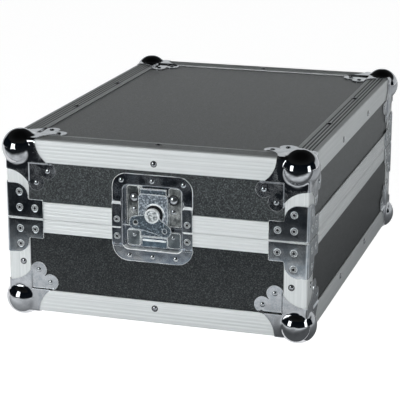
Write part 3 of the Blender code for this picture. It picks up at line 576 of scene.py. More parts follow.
def laid(form, flat, shape):
    """Adds a web, each point of it moved by shape(u, v), and gives its faces."""
    verts, faces = flat
    placed = [form.verts.new(shape(v.x, v.y)) for v in verts]
    return [form.faces.new([placed[i] for i in face]) for face in faces]


def pressed(flat, shape, thickness=SHEET, bevel=0.3, segments=2):
    """A sheet-metal piece: a flat pattern laid on a shape, then given its thickness inwards (+Y)."""
    form = bmesh.new()
    laid(form, flat, shape)
    bmesh.ops.delete(form, geom=[v for v in form.verts if not v.link_faces], context="VERTS")
    return thickened(mesh_from(form), thickness, bevel, segments)


def thickened(mesh, thickness, bevel, segments=2, towards=Vector((0, -1, 0)), even=True):
    """Gives an open skin its thickness on the side away from the viewer and rounds its rims."""
    form = bmesh.new()
    form.from_mesh(mesh)
    bmesh.ops.dissolve_degenerate(form, edges=form.edges, dist=0.01)
    form.normal_update()
    total = sum((f.normal * f.calc_area() for f in form.faces), Vector())
    if total.dot(towards) < 0:
        bmesh.ops.reverse_faces(form, faces=form.faces)
    solidify = {"thickness": thickness, "offset": -1.0, "use_even_offset": even, "use_quality_normals": True}
    return evaluated(mesh_from(form), [("SOLIDIFY", solidify), bevel_step(bevel, segments, 55.0)])


def piece(name, mesh, finish, body, replaces=(), matrix=HERE, angle=38.0):
    """A named visible piece, placed in metres, that rides on a body of the frame."""
    mesh.name = name
    mesh.transform(MILLI @ matrix)
    chosen = [polygon.material_index for polygon in mesh.polygons]
    mesh.materials.clear()
    for material in finish if isinstance(finish, tuple) else (finish,):
        mesh.materials.append(material)
    mesh.polygons.foreach_set("material_index", chosen)
    mesh.shade_smooth()
    mesh.set_sharp_from_angle(angle=math.radians(angle))
    item = linked(name, mesh)
    modifier = item.modifiers.new("weighted_normals", "WEIGHTED_NORMAL")
    modifier.keep_sharp = True
    modifier.weight = 80
    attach(item, body)
    if replaces:
        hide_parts(*replaces)
    return item


# Aluminium edging with drawn grooves


def reeds(start, end, count, rise, groove):
    """Points (distance, depth) across a face that is drawn as low rounded ribs with grooves between."""
    points = []
    width = (end - start) / count
    for index in range(count):
        for across in (0.20, 0.35, 0.5, 0.65, 0.80):
            points.append((start + width * (index + across), rise * (2 * across - 1) ** 2))
        if index < count - 1:
            points.append((start + width * (index + 1), rise + groove))
    return [(start, rise), *points, (end, rise)]


def angle_section():
    """The edging's section: both outer faces are grooved, and each flange ends in a bead."""
    upper = reeds(EDGE_RADIUS + 0.6, FLANGE - 2.4, count=5, rise=0.16, groove=0.06)
    upper += [(FLANGE - 2.2, 0.0), (FLANGE - 0.3, 0.05), (FLANGE, 0.35)]
    side = [(v, u) for u, v in reversed(upper)]
    corner = arc((EDGE_RADIUS, EDGE_RADIUS), EDGE_RADIUS, 180, 270, 6)
    inner = [(FLANGE, WALL), (WALL + 0.6, WALL), (WALL, WALL + 0.6), (WALL, FLANGE)]
    return side + corner + upper + inner


def grooved(x, y, z):
    """Whether a place of the edging is in a groove of the lid's top face, which is painted with shade."""
    shallowest = 0.125
    deepest = 1.3
    inset = min(HALF_WIDTH - abs(x), HALF_DEPTH - abs(y))
    return shallowest < TOP - z < deepest and EDGE_RADIUS < inset < FLANGE - 2.5


def make_edges():
    section = angle_section()
    for axis, finish, half, bars in (
        ("X", ALU_X, HALF_WIDTH, (("base", "front"), ("base", "rear"), ("lid", "rear"), ("lid", "front"))),
        ("Y", ALU_Y, HALF_DEPTH, (("base", "left"), ("lid", "left"), ("lid", "right"), ("base", "right"))),
    ):
        for turn, (shell, side) in enumerate(bars):
            name = f"{shell}_edge_{side}"
            sign = 1 if side in ("rear", "right") else -1
            x, y = (0.0, sign * HALF_DEPTH) if axis == "X" else (sign * HALF_WIDTH, 0.0)
            bar = prism(section, axis, PROFILE_END - half, half - PROFILE_END)
            bar.transform(at(x, y, BOTTOM if shell == "base" else TOP) @ turned(turn, axis))
            # The grooves of the lid's top face take the second finish, a painted shade.
            bar = tagged(bar, 1, grooved)
            piece("look_" + name, bar, (finish, GROOVE_PAINTED_SHADE), shell, [name])


def make_posts():
    section = angle_section()
    gap = 0.3
    for shell, low, high in (
        ("base", BOTTOM + PROFILE_END, SPLIT - BASE_BAND - gap),
        ("lid", SPLIT + LID_BAND + gap, TOP - PROFILE_END),
    ):
        for corner, sx, sy, turn in CORNERS:
            name = f"{shell}_post_{corner}"
            matrix = at(sx * HALF_WIDTH, sy * HALF_DEPTH, 0) @ turned(turn, "Z")
            piece("look_" + name, prism(section, "Z", low, high), ALU_Z, shell, [name], matrix)


def swept_ring(section):
    """A section (distance inwards, height) carried round the case, with rounded corners outside."""
    rows = []
    for sx, sy, start in ((1, -1, 270), (1, 1, 0), (-1, 1, 90), (-1, -1, 180)):
        for step in range(6):
            angle = math.radians(start + 90 * step / 5)
            row = []
            for inset, height in section:
                radius = max(EDGE_RADIUS - inset, 0.0)
                run = max(inset, EDGE_RADIUS)
                x = sx * (HALF_WIDTH - run) + radius * math.cos(angle)
                y = sy * (HALF_DEPTH - run) + radius * math.sin(angle)
                row.append((x, y, SPLIT + height))
            rows.append(row)
    return skin([*rows, rows[0]], closed=True)


def base_rim_section():
    """The base's rim: a grooved band outside, and a channel on top that takes the lid's tongue."""
    lip = [(0.5, -0.15), (0.1, -0.35), (0.0, -0.8), (0.0, -1.5), (0.25, -1.7), (0.25, -2.0), (0.0, -2.2)]
    band = [(d, -z) for z, d in reeds(2.6, BASE_BAND - 1.6, count=3, rise=0.30, groove=0.22)]
    back = [(0.0, -BASE_BAND + 0.5), (0.3, -BASE_BAND), (WALL, -BASE_BAND), (WALL, -8.2), (11.2, -8.2)]
    fold = [(11.2, -14.5), (12.8, -14.5), (12.8, -0.5), (12.4, -0.15)]
    channel = [(9.5, -0.15), (9.2, -0.45), (9.2, -5.7), (3.8, -5.7), (3.8, -0.45), (3.5, -0.15)]
    return lip + band + back + fold + channel


def lid_rim_section():
    """The lid's rim: a grooved band that ends in a bead, and a tongue below."""
    band = [(d, z) for z, d in reeds(2.2, LID_BAND - 3.4, count=4, rise=0.30, groove=0.22)]
    bead = [(0.0, -3.2), (0.35, -3.0), (0.35, -2.4), (-0.25, -2.1), (-0.45, -1.2), (-0.25, -0.3), (0.2, 0.0)]
    bead = [(d, LID_BAND + z) for d, z in bead]
    back = [(WALL, LID_BAND), (WALL, 7.5), (11.2, 7.5), (11.2, 14.5), (12.8, 14.5), (12.8, 0.5)]
    tongue = [(8.6, 0.15), (8.6, -4.5), (8.2, -4.9), (4.8, -4.9), (4.4, -4.5), (4.4, 0.15)]
    return [(0.5, 0.15), (0.1, 0.35), (0.0, 0.8), *band, *bead, *back, (12.4, 0.15), *tongue]


def make_rims():
    """The base's ring has a shallow notch at each latch, and the lid's is cut into two lengths there."""
    notch_half = 41.0
    length_half = 110.0
    beyond = 300.0

    def upright(middle, half, y_low, y_high):
        """A block that reaches well above and below the rings."""
        reach = 40.0
        return block((middle - half, y_low, SPLIT - reach), (middle + half, y_high, SPLIT + reach))

    for body, section, depth, lengths in (
        ("base", base_rim_section(), 10.95, (("base_rim", 0),)),
        ("lid", lid_rim_section(), 20.0, (("lid_rim_left", -1), ("lid_rim_right", 1))),
    ):
        notches = []
        for sign in (-1, 1):
            ends = sorted((sign * (HALF_DEPTH + 3.0), sign * (HALF_DEPTH - depth)))
            notches.append(upright(-sign * LATCH_X, notch_half, *ends))
        ring = carved(swept_ring(section), *notches)
        for name, sign in lengths:
            other_half = upright(-sign * length_half, length_half, -beyond, beyond)
            length = carved(ring, other_half) if sign else ring
            piece("look_" + name, length, ALU_RIM, body, [name])


# Rivets


def pop_rivet(radius, height, hole, metal=0):
    """An open pop rivet: a rounded flange, a groove painted with shade and the raised rim of its hollow stem.
    """
    profile = [(radius, 0.0), (radius - 0.08, 0.30), (radius - 0.45, 0.52), (radius - 0.9, 0.60)]
    groove = hole + (radius - hole) * 0.42
    profile += [(groove + 0.45, 0.52), (groove, 0.30), (groove - 0.25, 0.34), (hole + 0.75, height * 0.86)]
    profile += [(hole + 0.35, height), (hole + 0.05, height - 0.15), (hole, height * 0.4), (hole, -0.3)]
    rivet = tagged(lathe(profile, 24), metal)
    # The groove takes the next finish, which paints shade there.
    return tagged(rivet, metal + 1, lambda x, y, z: groove - 0.2 < math.hypot(x, z) < groove + 0.35)


def dome_rivet():
    """A closed domed head."""
    radius = 3.4
    height = 1.5
    angles = [math.radians(8 + 82 * step / 6) for step in range(6)]
    curve = [(radius * math.cos(angle), height * math.sin(angle)) for angle in angles]
    return lathe([(radius, 0.0), *curve, (0.0, height)], 24)


DOME = dome_rivet()
BRACE_POP = pop_rivet(radius=4.9, height=1.25, hole=1.9)
SIDE_POP = pop_rivet(radius=4.3, height=1.2, hole=1.82, metal=1)
# The inside of a pop rivet's hollow stem, which takes the painted shade.
STEM = lathe([(1.92, 0.35), (1.92, 0.78), (0.96, 0.72), (0.0, 0.70)], 16)


def on_side(side, along, up):
    """A place on an upright side of the case: along it to the right as seen from outside, and up."""
    half = HALF_DEPTH if side in ("front", "rear") else HALF_WIDTH
    turn = {"front": 0, "right": 1, "rear": 2, "left": -1}[side]
    return turned(turn, "Z") @ at(along, -half, up)


def make_profile_rivets():
    """Domed rivets along the edging: one in the middle of each short edge and two on each long one."""
    inset = 20.3
    post_inset = 20.0
    post_up = 67.0
    places = {"base": [], "lid": []}
    for side, sign, half, spots in (
        ("front", -1, HALF_WIDTH, (0.5,)),
        ("rear", 1, HALF_WIDTH, (0.5,)),
        ("left", -1, HALF_DEPTH, (-78.0, 85.0)),
        ("right", 1, HALF_DEPTH, (-78.0, 85.0)),
    ):
        for spot in spots:
            flat = (spot, sign * (HALF_DEPTH - inset))
            if side in ("left", "right"):
                flat = (sign * (HALF_WIDTH - inset), spot)
            along = -spot if side == "left" else spot
            places["lid"] += [on_side(side, along, TOP - inset), at(*flat, TOP) @ turned(-1, "X")]
            places["base"] += [on_side(side, along, BOTTOM + inset), at(*flat, BOTTOM) @ turned(1, "X")]
        for end in (-1, 1):
            places["base"].append(on_side(side, end * (half - post_inset), BOTTOM + post_up))
    # A thin ring of painted shade round the foot of each domed head.
    painted_seat_shade = tagged(lathe([(4.3, -0.1), (4.3, 0.05), (3.3, 0.12)], 24), 1)
    for shell, matrices in places.items():
        heads = merged([(mesh, matrix) for matrix in matrices for mesh in (DOME, painted_seat_shade)])
        piece(f"{shell}_edging_rivets", heads, (CHROME, DARK_PAINTED_SHADE), shell)


# Ball corners, drawn with the corner of the edging at the origin

BALL = Vector((14.4, 14.4, 14.4))
BALL_RADIUS = 24.3
BALL_FLAT = 9.59
FILLET = 8.8
PLATE_FROM = 31.0
CRANK = 30.3
CRANK_WIDTH = 2.4
CAP_REACH = 41.0
CAP_WIDE = 57.0
LOBE = 10.9
EAR_RIVETS = ((57.0, 41.0), (41.0, 57.0))
SPIN = Matrix(((0, 0, 1, 0), (1, 0, 0, 0), (0, 1, 0, 0), (0, 0, 0, 1)))
SPINS = (HERE, SPIN, SPIN @ SPIN)


def smooth(t):
    """0 to 1 with a soft start and end, and flat outside."""
    t = max(0.0, min(1.0, t))
    return t * t * (3 - 2 * t)


def corner_outline(steps):
    """One face of the pressed cap with its two-lobed ear, as far as the case's edges."""
    spread = CAP_WIDE - CAP_REACH
    sweep = (CRANK * CRANK + spread * spread) / (2 * spread)
    end = 180 - math.degrees(math.asin(CRANK / sweep))
    first = arc((CAP_REACH + sweep, 0.0), sweep, 180, end, 12) + arc(EAR_RIVETS[0], LOBE, -88, 135, 18)
    second = [(v, u) for u, v in reversed(first)]
    lower = [(u, 0.0) for u in steps if u < CAP_REACH - 0.4]
    left = [(0.0, v) for v in reversed(steps) if 0 < v < CAP_REACH - 0.4]
    return [*lower, *first, *second, *left]


def corner_shape(u, v):
    """Lays one face of the cap over the rounded corner of the case and blows up its ball."""
    slopes = [-math.tan(math.radians(45) * max(EDGE_RADIUS - c, 0.0) / EDGE_RADIUS) for c in (u, v)]
    normal = Vector((*slopes, -1.0)).normalized()
    point = Vector((max(u, EDGE_RADIUS), max(v, EDGE_RADIUS), EDGE_RADIUS)) + normal * (EDGE_RADIUS - PLATE)
    point.z += (EAR - PLATE) * smooth((min(u, v) - CRANK) / CRANK_WIDTH)
    return blown(point)


def blown(point):
    """Pushes a point of the plates out to the ball, with a hollow fillet between them."""
    arm = point - BALL
    side = Vector([max(c, 0.0) for c in arm]).length
    away = Vector([min(c, 0.0) for c in arm]).length
    reach = BALL_RADIUS
    if side > 1e-9:
        offset = (BALL_RADIUS + FILLET) ** 2 - (away + FILLET) ** 2
        if offset <= 0:
            return point
        offset = math.sqrt(offset)
        angle = math.atan2(side, away)
        if angle >= math.atan2(offset, away):
            return point
        if angle > math.atan2(offset, away + FILLET):
            b = offset * math.sin(angle) + (away + FILLET) * math.cos(angle)
            reach = b - math.sqrt(max(b * b - offset**2 - (away + FILLET) ** 2 + FILLET**2, 0.0))
    return BALL + arm.normalized() * reach


def corner_mesh():
    """Three pressed faces that meet round the ball, which stands on a small flat.

    Their grid is finer round the case's edge and on the crank than on the ears.
    """
    steps = [0.75 * index for index in range(5)]
    steps += [3.0 + 1.52 * index for index in range(1, 18)]
    steps += [CRANK + CRANK_WIDTH * index / 6 for index in range(7)]
    steps += [35.5, 39.0, 43.0, 47.0, 51.0, 55.0, 59.0, 63.0]
    outline = corner_outline(steps)
    flat = web(outline, (), within([(u, v) for u in steps[1:] for v in steps[1:]], outline, 0.55))
    form = bmesh.new()
    for spin in SPINS:
        for sheet in laid(form, flat, lambda u, v: spin @ corner_shape(u, v)):
            plate = (sheet.calc_center_median() - BALL).length > PLATE_FROM
            sheet.material_index = 1 if plate else 0
    for vert in form.verts:
        for axis in range(3):
            vert.co[axis] = max(vert.co[axis], -BALL_FLAT)
    bmesh.ops.remove_doubles(form, verts=form.verts, dist=0.002)
    return thickened(outward(form), SHEET, 0.3, towards=Vector((-1, -1, -1)))


def at_corners(base_height, lid_height, hanging):
    """(shell, corner, place) of a fitting at each standing edge, which hangs down in one shell."""
    for shell, height in (("base", base_height), ("lid", lid_height)):
        for corner, sx, sy, turn in CORNERS:
            place = at(sx * HALF_WIDTH, sy * HALF_DEPTH, height)
            if shell == hanging:
                place = place @ turned(turn + 1, "Z") @ turned(2, "X")
            else:
                place = place @ turned(turn, "Z")
            yield shell, corner, place


def make_ball_corners():
    cap = corner_mesh()
    heads = merged([(DOME, spin @ at(u, v, EAR) @ turned(1, "X")) for spin in SPINS for u, v in EAR_RIVETS])
    for shell, corner, place in at_corners(BOTTOM, TOP, hanging="lid"):
        name = f"{shell}_ball_corner_{corner}"
        piece("look_" + name, cap.copy(), (CHROME, PLATE_CHROME), shell, [name], place)
        piece(f"{name}_rivets", heads.copy(), RIVET_STEEL, shell, (), place)


# Corner braces, drawn with the standing edge at the origin

BRACE_RIVETS = ((17.5, 14.2), (17.5, 35.0), (38.5, 14.2))
DIMPLE = 5.5
DIMPLE_DEPTH = 0.55


def around(centre, radii, count):
    """Rings of points round a centre, every other ring turned by half a step."""
    points = []
    for index, radius in enumerate(radii):
        shift = 180 / count * (index % 2)
        points.extend(arc(centre, radius, shift, 360 + shift - 360 / count, count - 1))
    return points


def brace_shape(s, z):
    """Wraps the flat brace round a standing edge: along the front for s > 0, along the side for s < 0."""
    if abs(s) < EDGE_RADIUS:
        outer = EDGE_RADIUS - PLATE
        angle = math.radians(45) * (1 - s / EDGE_RADIUS)
        return (EDGE_RADIUS - outer * math.sin(angle), EDGE_RADIUS - outer * math.cos(angle), z)
    across = PLATE
    for u, v in BRACE_RIVETS:
        distance = math.hypot(abs(s) - u, z - v)
        across = max(across, PLATE + DIMPLE_DEPTH * smooth((DIMPLE - distance) / (DIMPLE * 0.42)))
    return (s, across, z) if s > 0 else (across, -s, z)


def brace_mesh():
    top = 47.0
    right = [(50.0, 1.0), (50.0, 24.8), (48.8, 26.0), (31.5, 26.0), (30.4, 26.5), (30.0, 27.6), (30.0, 29.0)]
    right += arc((12.0, 29.0), 18.0, 10, 90, 10)
    fold = [-3.0, -2.0, -1.0, 0.0, 1.0, 2.0, 3.0]
    upper = [(s, top) for s in reversed(fold)]
    outline = [*right, *upper, *mirror(right), *[(s, 1.0) for s in fold]]
    points = [(s, z) for s in fold for z in np.arange(3.0, top - 1.0, 2.5).tolist()]
    points += [(s * k, z) for k in (-1, 1) for s in (6.0, 10.0) for z in (4.0, 24.0, 44.0)]
    for u, v in BRACE_RIVETS:
        for sign in (-1, 1):
            points += around((sign * u, v), (5.5, 4.9, 4.3, 3.7, 3.1, 1.5), 20)
    return pressed(web(outline, (), points), brace_shape)


def make_braces():
    brace = brace_mesh()
    sunk = PLATE + 0.5
    spots = []
    for u, v in BRACE_RIVETS:
        spots += [at(u, sunk, v), at(sunk, u, v) @ turned(-1, "Z")]
    heads = merged([(BRACE_POP, spot) for spot in spots])
    stems = merged([(STEM, spot) for spot in spots])
    for shell, corner, place in at_corners(SPLIT, SPLIT, hanging="base"):
        name = f"{shell}_brace_{corner}"
        piece("look_" + name, brace.copy(), BRACE_ZINC, shell, [name], place)
        piece(f"{name}_rivets", heads.copy(), (RIVET_SATIN, DARK_PAINTED_SHADE), shell, (), place)
        piece(f"{name}_stems", stems.copy(), DARK_PAINTED_SHADE, shell, (), place)


# Butterfly latches: x to the right, y into the case, z up from the split line

DISH_HALF = 53.65
OPENING = 39.5
OPENING_RADIUS = 8.0
RECESS_DEPTH = 9.4
BRIDGE_FACE = 3.1
MECHANISM_FACE = 7.6
PAD_FACE = 6.0
BORE = 11.9
BORE_PLACE = at(1.6, BRIDGE_FACE, PIVOT_UP + 1.1)
SCREW = (26.2, 38.0)
PIN_FOOT = (26.0, 22.6)
FINGER_HOLE = (19.85, -15.4)
WING_LEAN = math.radians(12.5)
SIDE_POP_X = 46.8

# Places of a dish's finishes: the second one is a painted highlight
PAINTED_HIGHLIGHT, PAD, KEEPER, LIP = 1, 2, 3, 4
DISH_FINISHES = (DISH_ZINC, HIGHLIGHT_PAINT_ZINC, PAD_ZINC, KEEPER_ZINC, LIP_ZINC)
STANDS_FOR = ("upper_dish", "lower_dish", "mechanism", "hook", "wing")


def open_ring(half, top, radius):
    """A U-shaped row of points: up the left side, over the top and down the right side."""
    low = 0.15
    runs = 5
    spans = 8
    shoulder = top - radius
    left = [(-half, low + (shoulder - low) * step / runs) for step in range(runs)]
    left += arc((-half + radius, shoulder), radius, 180, 90, 14)
    reach = half - radius
    flat = [(-reach + 2 * reach * step / spans, top) for step in range(1, spans)]
    return left + flat + mirror(left)


def finer(points, step):
    """The same line with no stretch longer than the step."""
    result = []
    for (ax, az), (bx, bz) in zip(points, points[1:]):
        count = max(1, math.ceil(math.hypot(bx - ax, bz - az) / step))
        result.extend((ax + (bx - ax) * i / count, az + (bz - az) * i / count) for i in range(count))
    return [*result, points[-1]]


def bend(radius, angles):
    """A quarter round as (distance left across, distance gone down) at each angle."""
    return [(radius * (1 - math.sin(angle)), radius * (1 - math.cos(angle))) for angle in angles]


def dish_half(top, radius, opening_top, joggle, lower=False):
    """Half of the latch dish: flange with its step, rounded lip, walls and floor of the recess. A painted
    highlight lies on the step of the upper dish, and on the split rim and the far end of the opening's lip of
    the lower one.
    """
    step_run = 3.0
    split_rim = 1.8
    lip_steps = 5
    floor_steps = 4

    def flange(z):
        return PLATE + (EAR - PLATE) * max(0.0, min(1.0, (z - joggle) / step_run + 0.5))

    rows = []
    for grow, sink in bend(1.4, [QUARTER * step / lip_steps for step in range(lip_steps + 1)]):
        ring = open_ring(OPENING + grow, opening_top + grow, OPENING_RADIUS + grow)
        rows.append([(x, flange(z) + sink, z) for x, z in ring])
    for rise, shrink in bend(1.2, [QUARTER * step / floor_steps for step in range(floor_steps + 1)]):
        ring = open_ring(OPENING - shrink, opening_top - shrink, OPENING_RADIUS - shrink)
        rows.append([(x, RECESS_DEPTH - rise, z) for x, z in ring])
    outline = finer(open_ring(DISH_HALF, top, radius), 1.6) + [(x, z) for x, _, z in reversed(rows[0])]
    lines = (split_rim, joggle - 4.0, joggle - step_run / 2, joggle + step_run / 2, joggle + 4.0)
    points = [(x, z) for z in lines for x in np.linspace(-DISH_HALF, DISH_HALF, 60).tolist()]
    form = bmesh.new()
    for sheet in laid(form, web(outline, (), within(points, outline, 0.4)), lambda x, z: (x, flange(z), z)):
        z = sheet.calc_center_median().z
        # Painted highlight: the band over the step, or on the lower dish the strip along the split.
        painted_here = z < split_rim if lower else abs(z - joggle) < step_run / 2
        sheet.material_index = PAINTED_HIGHLIGHT if painted_here else 0
    grid, walls = quads(form, rows)
    # On the lower dish, the lip's rows at the far end of its opening get the painted highlight.
    for row, level in zip(rows[: lip_steps + 1], walls):
        for (_, _, z), wall in zip(row, level):
            wall.material_index = PAINTED_HIGHLIGHT if lower and z > opening_top - 4.0 else LIP
    form.faces.new(grid[-1])
    bmesh.ops.remove_doubles(form, verts=form.verts, dist=0.002)
    if lower:
        bmesh.ops.scale(form, vec=(1.0, 1.0, -1.0), verts=form.verts)
    return thickened(outward(form), SHEET, 0.35, even=False)


def lower_dish():
    """The lower dish with two pressed pads, and between them the keeper with a bar that carries a painted
    highlight.
    """
    back = RECESS_DEPTH + 0.1
    parts = [dish_half(top=44.8, radius=21.0, opening_top=28.5, joggle=24.6, lower=True)]
    for left, right in ((-35.8, -18.0), (18.0, 35.8)):
        pad = prism(rounded(left, right, -25.4, -4.4, (3.0,) * 4, 5), "Y", PAD_FACE, back)
        parts.append(tagged(bevelled(pad, 0.5, 3), PAD))
    parts.append(tagged(bevelled(block((-16.5, 7.7, -26.4), (16.5, back, -10.0)), 0.5, 3), KEEPER))
    parts.append(tagged(bevelled(block((-15.6, 7.15, -18.6), (15.6, back, -16.6)), 0.6, 3), PAINTED_HIGHLIGHT))
    return merged([(part, HERE) for part in parts])


def bridge():
    """The raised guide over the hook, with a collar round the bore whose upper arc carries a painted
    highlight.
    """
    plate = prism(rounded(-19.5, 19.5, 5.5, 44.5, (5.0, 5.0, 1.0, 1.0)), "Y", BRIDGE_FACE, 9.1)
    plate = carved(plate, block((-18.0, 4.5, -20.0), (18.0, 20.0, 80.0)))
    middle = BORE_PLACE.translation
    plate = carved(plate, prism(arc((middle.x, middle.z), BORE, 0, 351, 39), "Y", 0.0, 7.0))
    ring = [(1.9, 0.0), (1.75, 0.40), (1.3, 0.55), (0.7, 0.55), (0.2, 0.35), (0.0, -0.3)]
    ring += [(0.0, -1.4), (1.9, -1.4)]
    collar = lathe([(BORE + r, h) for r, h in ring], 48)
    # The upper arc of the collar is given the painted highlight.
    collar = tagged(collar, 1, lambda x, y, z: 15.0 < math.degrees(math.atan2(z, x)) < 110.0)
    return merged([(bevelled(plate, 0.45, 3), HERE), (collar, BORE_PLACE)])


def mechanism_plate():
    """The plate's two riveted wings beside the bridge, and a tab at the top."""
    back = 9.3
    parts = []
    for left in (-36.6, 19.6):
        foot = rounded(left, left + 17.0, 2.5, 53.5, (3.5, 3.5, 2.0, 2.0), 5)
        parts.append(prism(foot, "Y", MECHANISM_FACE, back))
    parts.append(block((-21.0, MECHANISM_FACE, 50.4), (-15.8, back, 53.5)))
    return merged([(bevelled(part, 0.4, 3), HERE) for part in parts])


def mechanism_fasteners():
    """Two large domed screws on dark rings of painted shadow, two small rivets, and a dark cup of painted
    shade in the well behind the bore.
    """
    painted_shadow_ring = lathe([(7.0, 0.0), (6.9, 0.25), (6.2, 0.30), (5.0, 0.15)])
    # A dark cup behind the bore, which takes the painted shade.
    well = lathe([(BORE - 0.05, -0.2), (BORE - 0.05, -1.9), (4.0, -1.9)], 48)
    heads = []
    dark = []
    for sign in (-1, 1):
        screw = at(sign * SCREW[0], MECHANISM_FACE, SCREW[1])
        heads.append((DOME, screw @ scaled(1.65, 1.8, 1.65)))
        heads.append((DOME, at(sign * PIN_FOOT[0], MECHANISM_FACE, PIN_FOOT[1])))
        dark.append((painted_shadow_ring, screw))
    return merged(heads), merged([*dark, (well, BORE_PLACE)])


def hook_mesh():
    """The sliding plate, folded at both ends, with a slot for the pin of the wing."""
    section = [(6.8, -13.0), (6.8, 51.5), (4.8, 51.5), (4.8, 50.0)]
    section += [(5.3, 50.0), (5.3, -11.5), (3.4, -11.5), (3.4, -13.0)]
    up = PIVOT_UP + 4.0
    slot = prism(rounded(-7.3, 7.3, up - 3.7, up + 3.7, (1.5,) * 4, 4), "Y", 0.0, 10.0)
    return bevelled(carved(prism(section, "X", -17.3, 17.3), slot), 0.35, 3)


def wing_mesh():
    """The butterfly plate with its two finger holes."""
    tip = arc(FINGER_HOLE, 8.7, 62, -92, 16)
    right = [(9.4, 3.0), (9.8, -0.5), (12.2, -3.0), *tip, (12.0, -22.9), (6.0, -22.6)]
    outline = [*right, (0.0, -22.5), *mirror(right), *arc((0.0, 0.0), 9.9, 150, 30, 8)]
    holes = [arc((sign * FINGER_HOLE[0], FINGER_HOLE[1]), 3.1, 0, 345, 23) for sign in (-1, 1)]
    return pressed(web(outline, holes), lambda u, v: (u, 0.9, v), 1.5, 0.45, 3)


def knob_mesh():
    """A turned knob with a dished face, about the pivot and standing on the wing."""
    profile = [(9.6, 0.0), (9.6, 2.7), (9.45, 3.0), (9.1, 3.2), (8.5, 3.2), (8.0, 3.0), (7.6, 2.4)]
    profile += [(6.9, 2.3), (5.6, 2.35), (4.8, 2.7), (3.8, 2.95), (2.4, 3.05), (1.5, 2.9), (0.9, 2.5)]
    knob = lathe([*[(r, h - 1.0) for r, h in profile], (0.0, 1.4)], 48)
    # The outer rim of the knob is given the painted highlight.
    return tagged(knob, 1, lambda x, y, z: math.hypot(x, z) > 8.2)


def shaft_mesh():
    """The shaft behind the wing, and the pin that drives the hook."""
    shaft = lathe([(5.0, -4.2), (5.0, -1.0), (0.0, -1.0)], 24)
    pin = lathe([(2.5, -6.9), (2.5, -3.6), (0.0, -3.6)], 16)
    return merged([(shaft, HERE), (pin, at(0, 0, 4.0))])


def dish_rivets(domes, pop_up):
    """The heads and the dark stems of one dish half: domes as matrices, and a pop rivet at each side."""
    spots = [at(sign * SIDE_POP_X, PLATE, pop_up) for sign in (-1, 1)]
    narrow = scaled(0.96, 1.0, 0.96)
    heads = merged([*[(DOME, dome) for dome in domes], *[(SIDE_POP, spot) for spot in spots]])
    return heads, merged([(STEM, spot @ narrow) for spot in spots])


def latch_pieces():
    """(name, mesh, finish, part) for one latch; part says which body of the latch carries it."""
    upper_dish = dish_half(top=70.8, radius=19.0, opening_top=55.5, joggle=31.5)
    upper_domes = [at(x, EAR, z) for x, z in ((-41.0, 61.3), (0.0, 62.5), (41.5, 60.8))]
    lower_domes = [at(x, EAR, -37.5) for x in (-31.0, 0.0, 31.0)]
    lower_domes += [at(x, PAD_FACE, -11.0) @ scaled(0.8, 0.8, 0.8) for x in (-26.0, 26.0)]
    upper_heads, upper_stems = dish_rivets(upper_domes, 10.0)
    lower_heads, lower_stems = dish_rivets(lower_domes, -12.3)
    screws, painted_shade_parts = mechanism_fasteners()
    tilt = at(0, 0, PIVOT_UP) @ Matrix.Rotation(WING_LEAN, 4, "Y")
    rivet_finishes = (RIVET_STEEL, RIVET_SATIN, DARK_PAINTED_SHADE)
    return [
        ("upper_dish", upper_dish, DISH_FINISHES, "lid"),
        ("lower_dish", lower_dish(), DISH_FINISHES, "base"),
        ("mechanism_bridge", bridge(), (BRIDGE_ZINC, HIGHLIGHT_PAINT_ZINC), "lid"),
        ("mechanism", mechanism_plate(), PLATE_ZINC, "lid"),
        ("mechanism_rivets", screws, RIVET_STEEL, "lid"),
        ("mechanism_painted_shade", painted_shade_parts, DARK_PAINTED_SHADE, "lid"),
        ("hook", hook_mesh(), WING_ZINC, "hook"),
        ("wing", merged([(wing_mesh(), tilt), (shaft_mesh(), tilt)]), WING_ZINC, "wing"),
        ("knob", merged([(knob_mesh(), tilt)]), (KNOB_ZINC, HIGHLIGHT_PAINT_ZINC), "wing"),
        ("upper_dish_rivets", upper_heads, rivet_finishes, "lid"),
        ("upper_dish_stems", upper_stems, DARK_PAINTED_SHADE, "lid"),
        ("lower_dish_rivets", lower_heads, rivet_finishes, "base"),
        ("lower_dish_stems", lower_stems, DARK_PAINTED_SHADE, "base"),
    ]


def make_latches():
    made = latch_pieces()
    for side, sign, turn in (("front", -1, 0), ("rear", 1, 2)):
        matrix = at(-sign * LATCH_X, sign * HALF_DEPTH, SPLIT) @ turned(turn, "Z")
        for name, mesh, finish, part in made:
            body = part if part in ("base", "lid") else f"{side}_{part}"
            replaced = [f"{side}_latch_{name}"] if name in STANDS_FOR else ()
            angle = 24.0 if "dish" in name else 38.0
            piece(f"{side}_{name}_look", mesh.copy(), finish, body, replaced, matrix, angle)


# Side handle, drawn like the latches with the middle of its dish at the origin

HANDLE = at(-HALF_WIDTH, 0, BOTTOM + 69.2) @ turned(-1, "Z")
PIN_DEPTH = 2.6
PIN_UP = 18.0
GRIP_DROP = -27.0


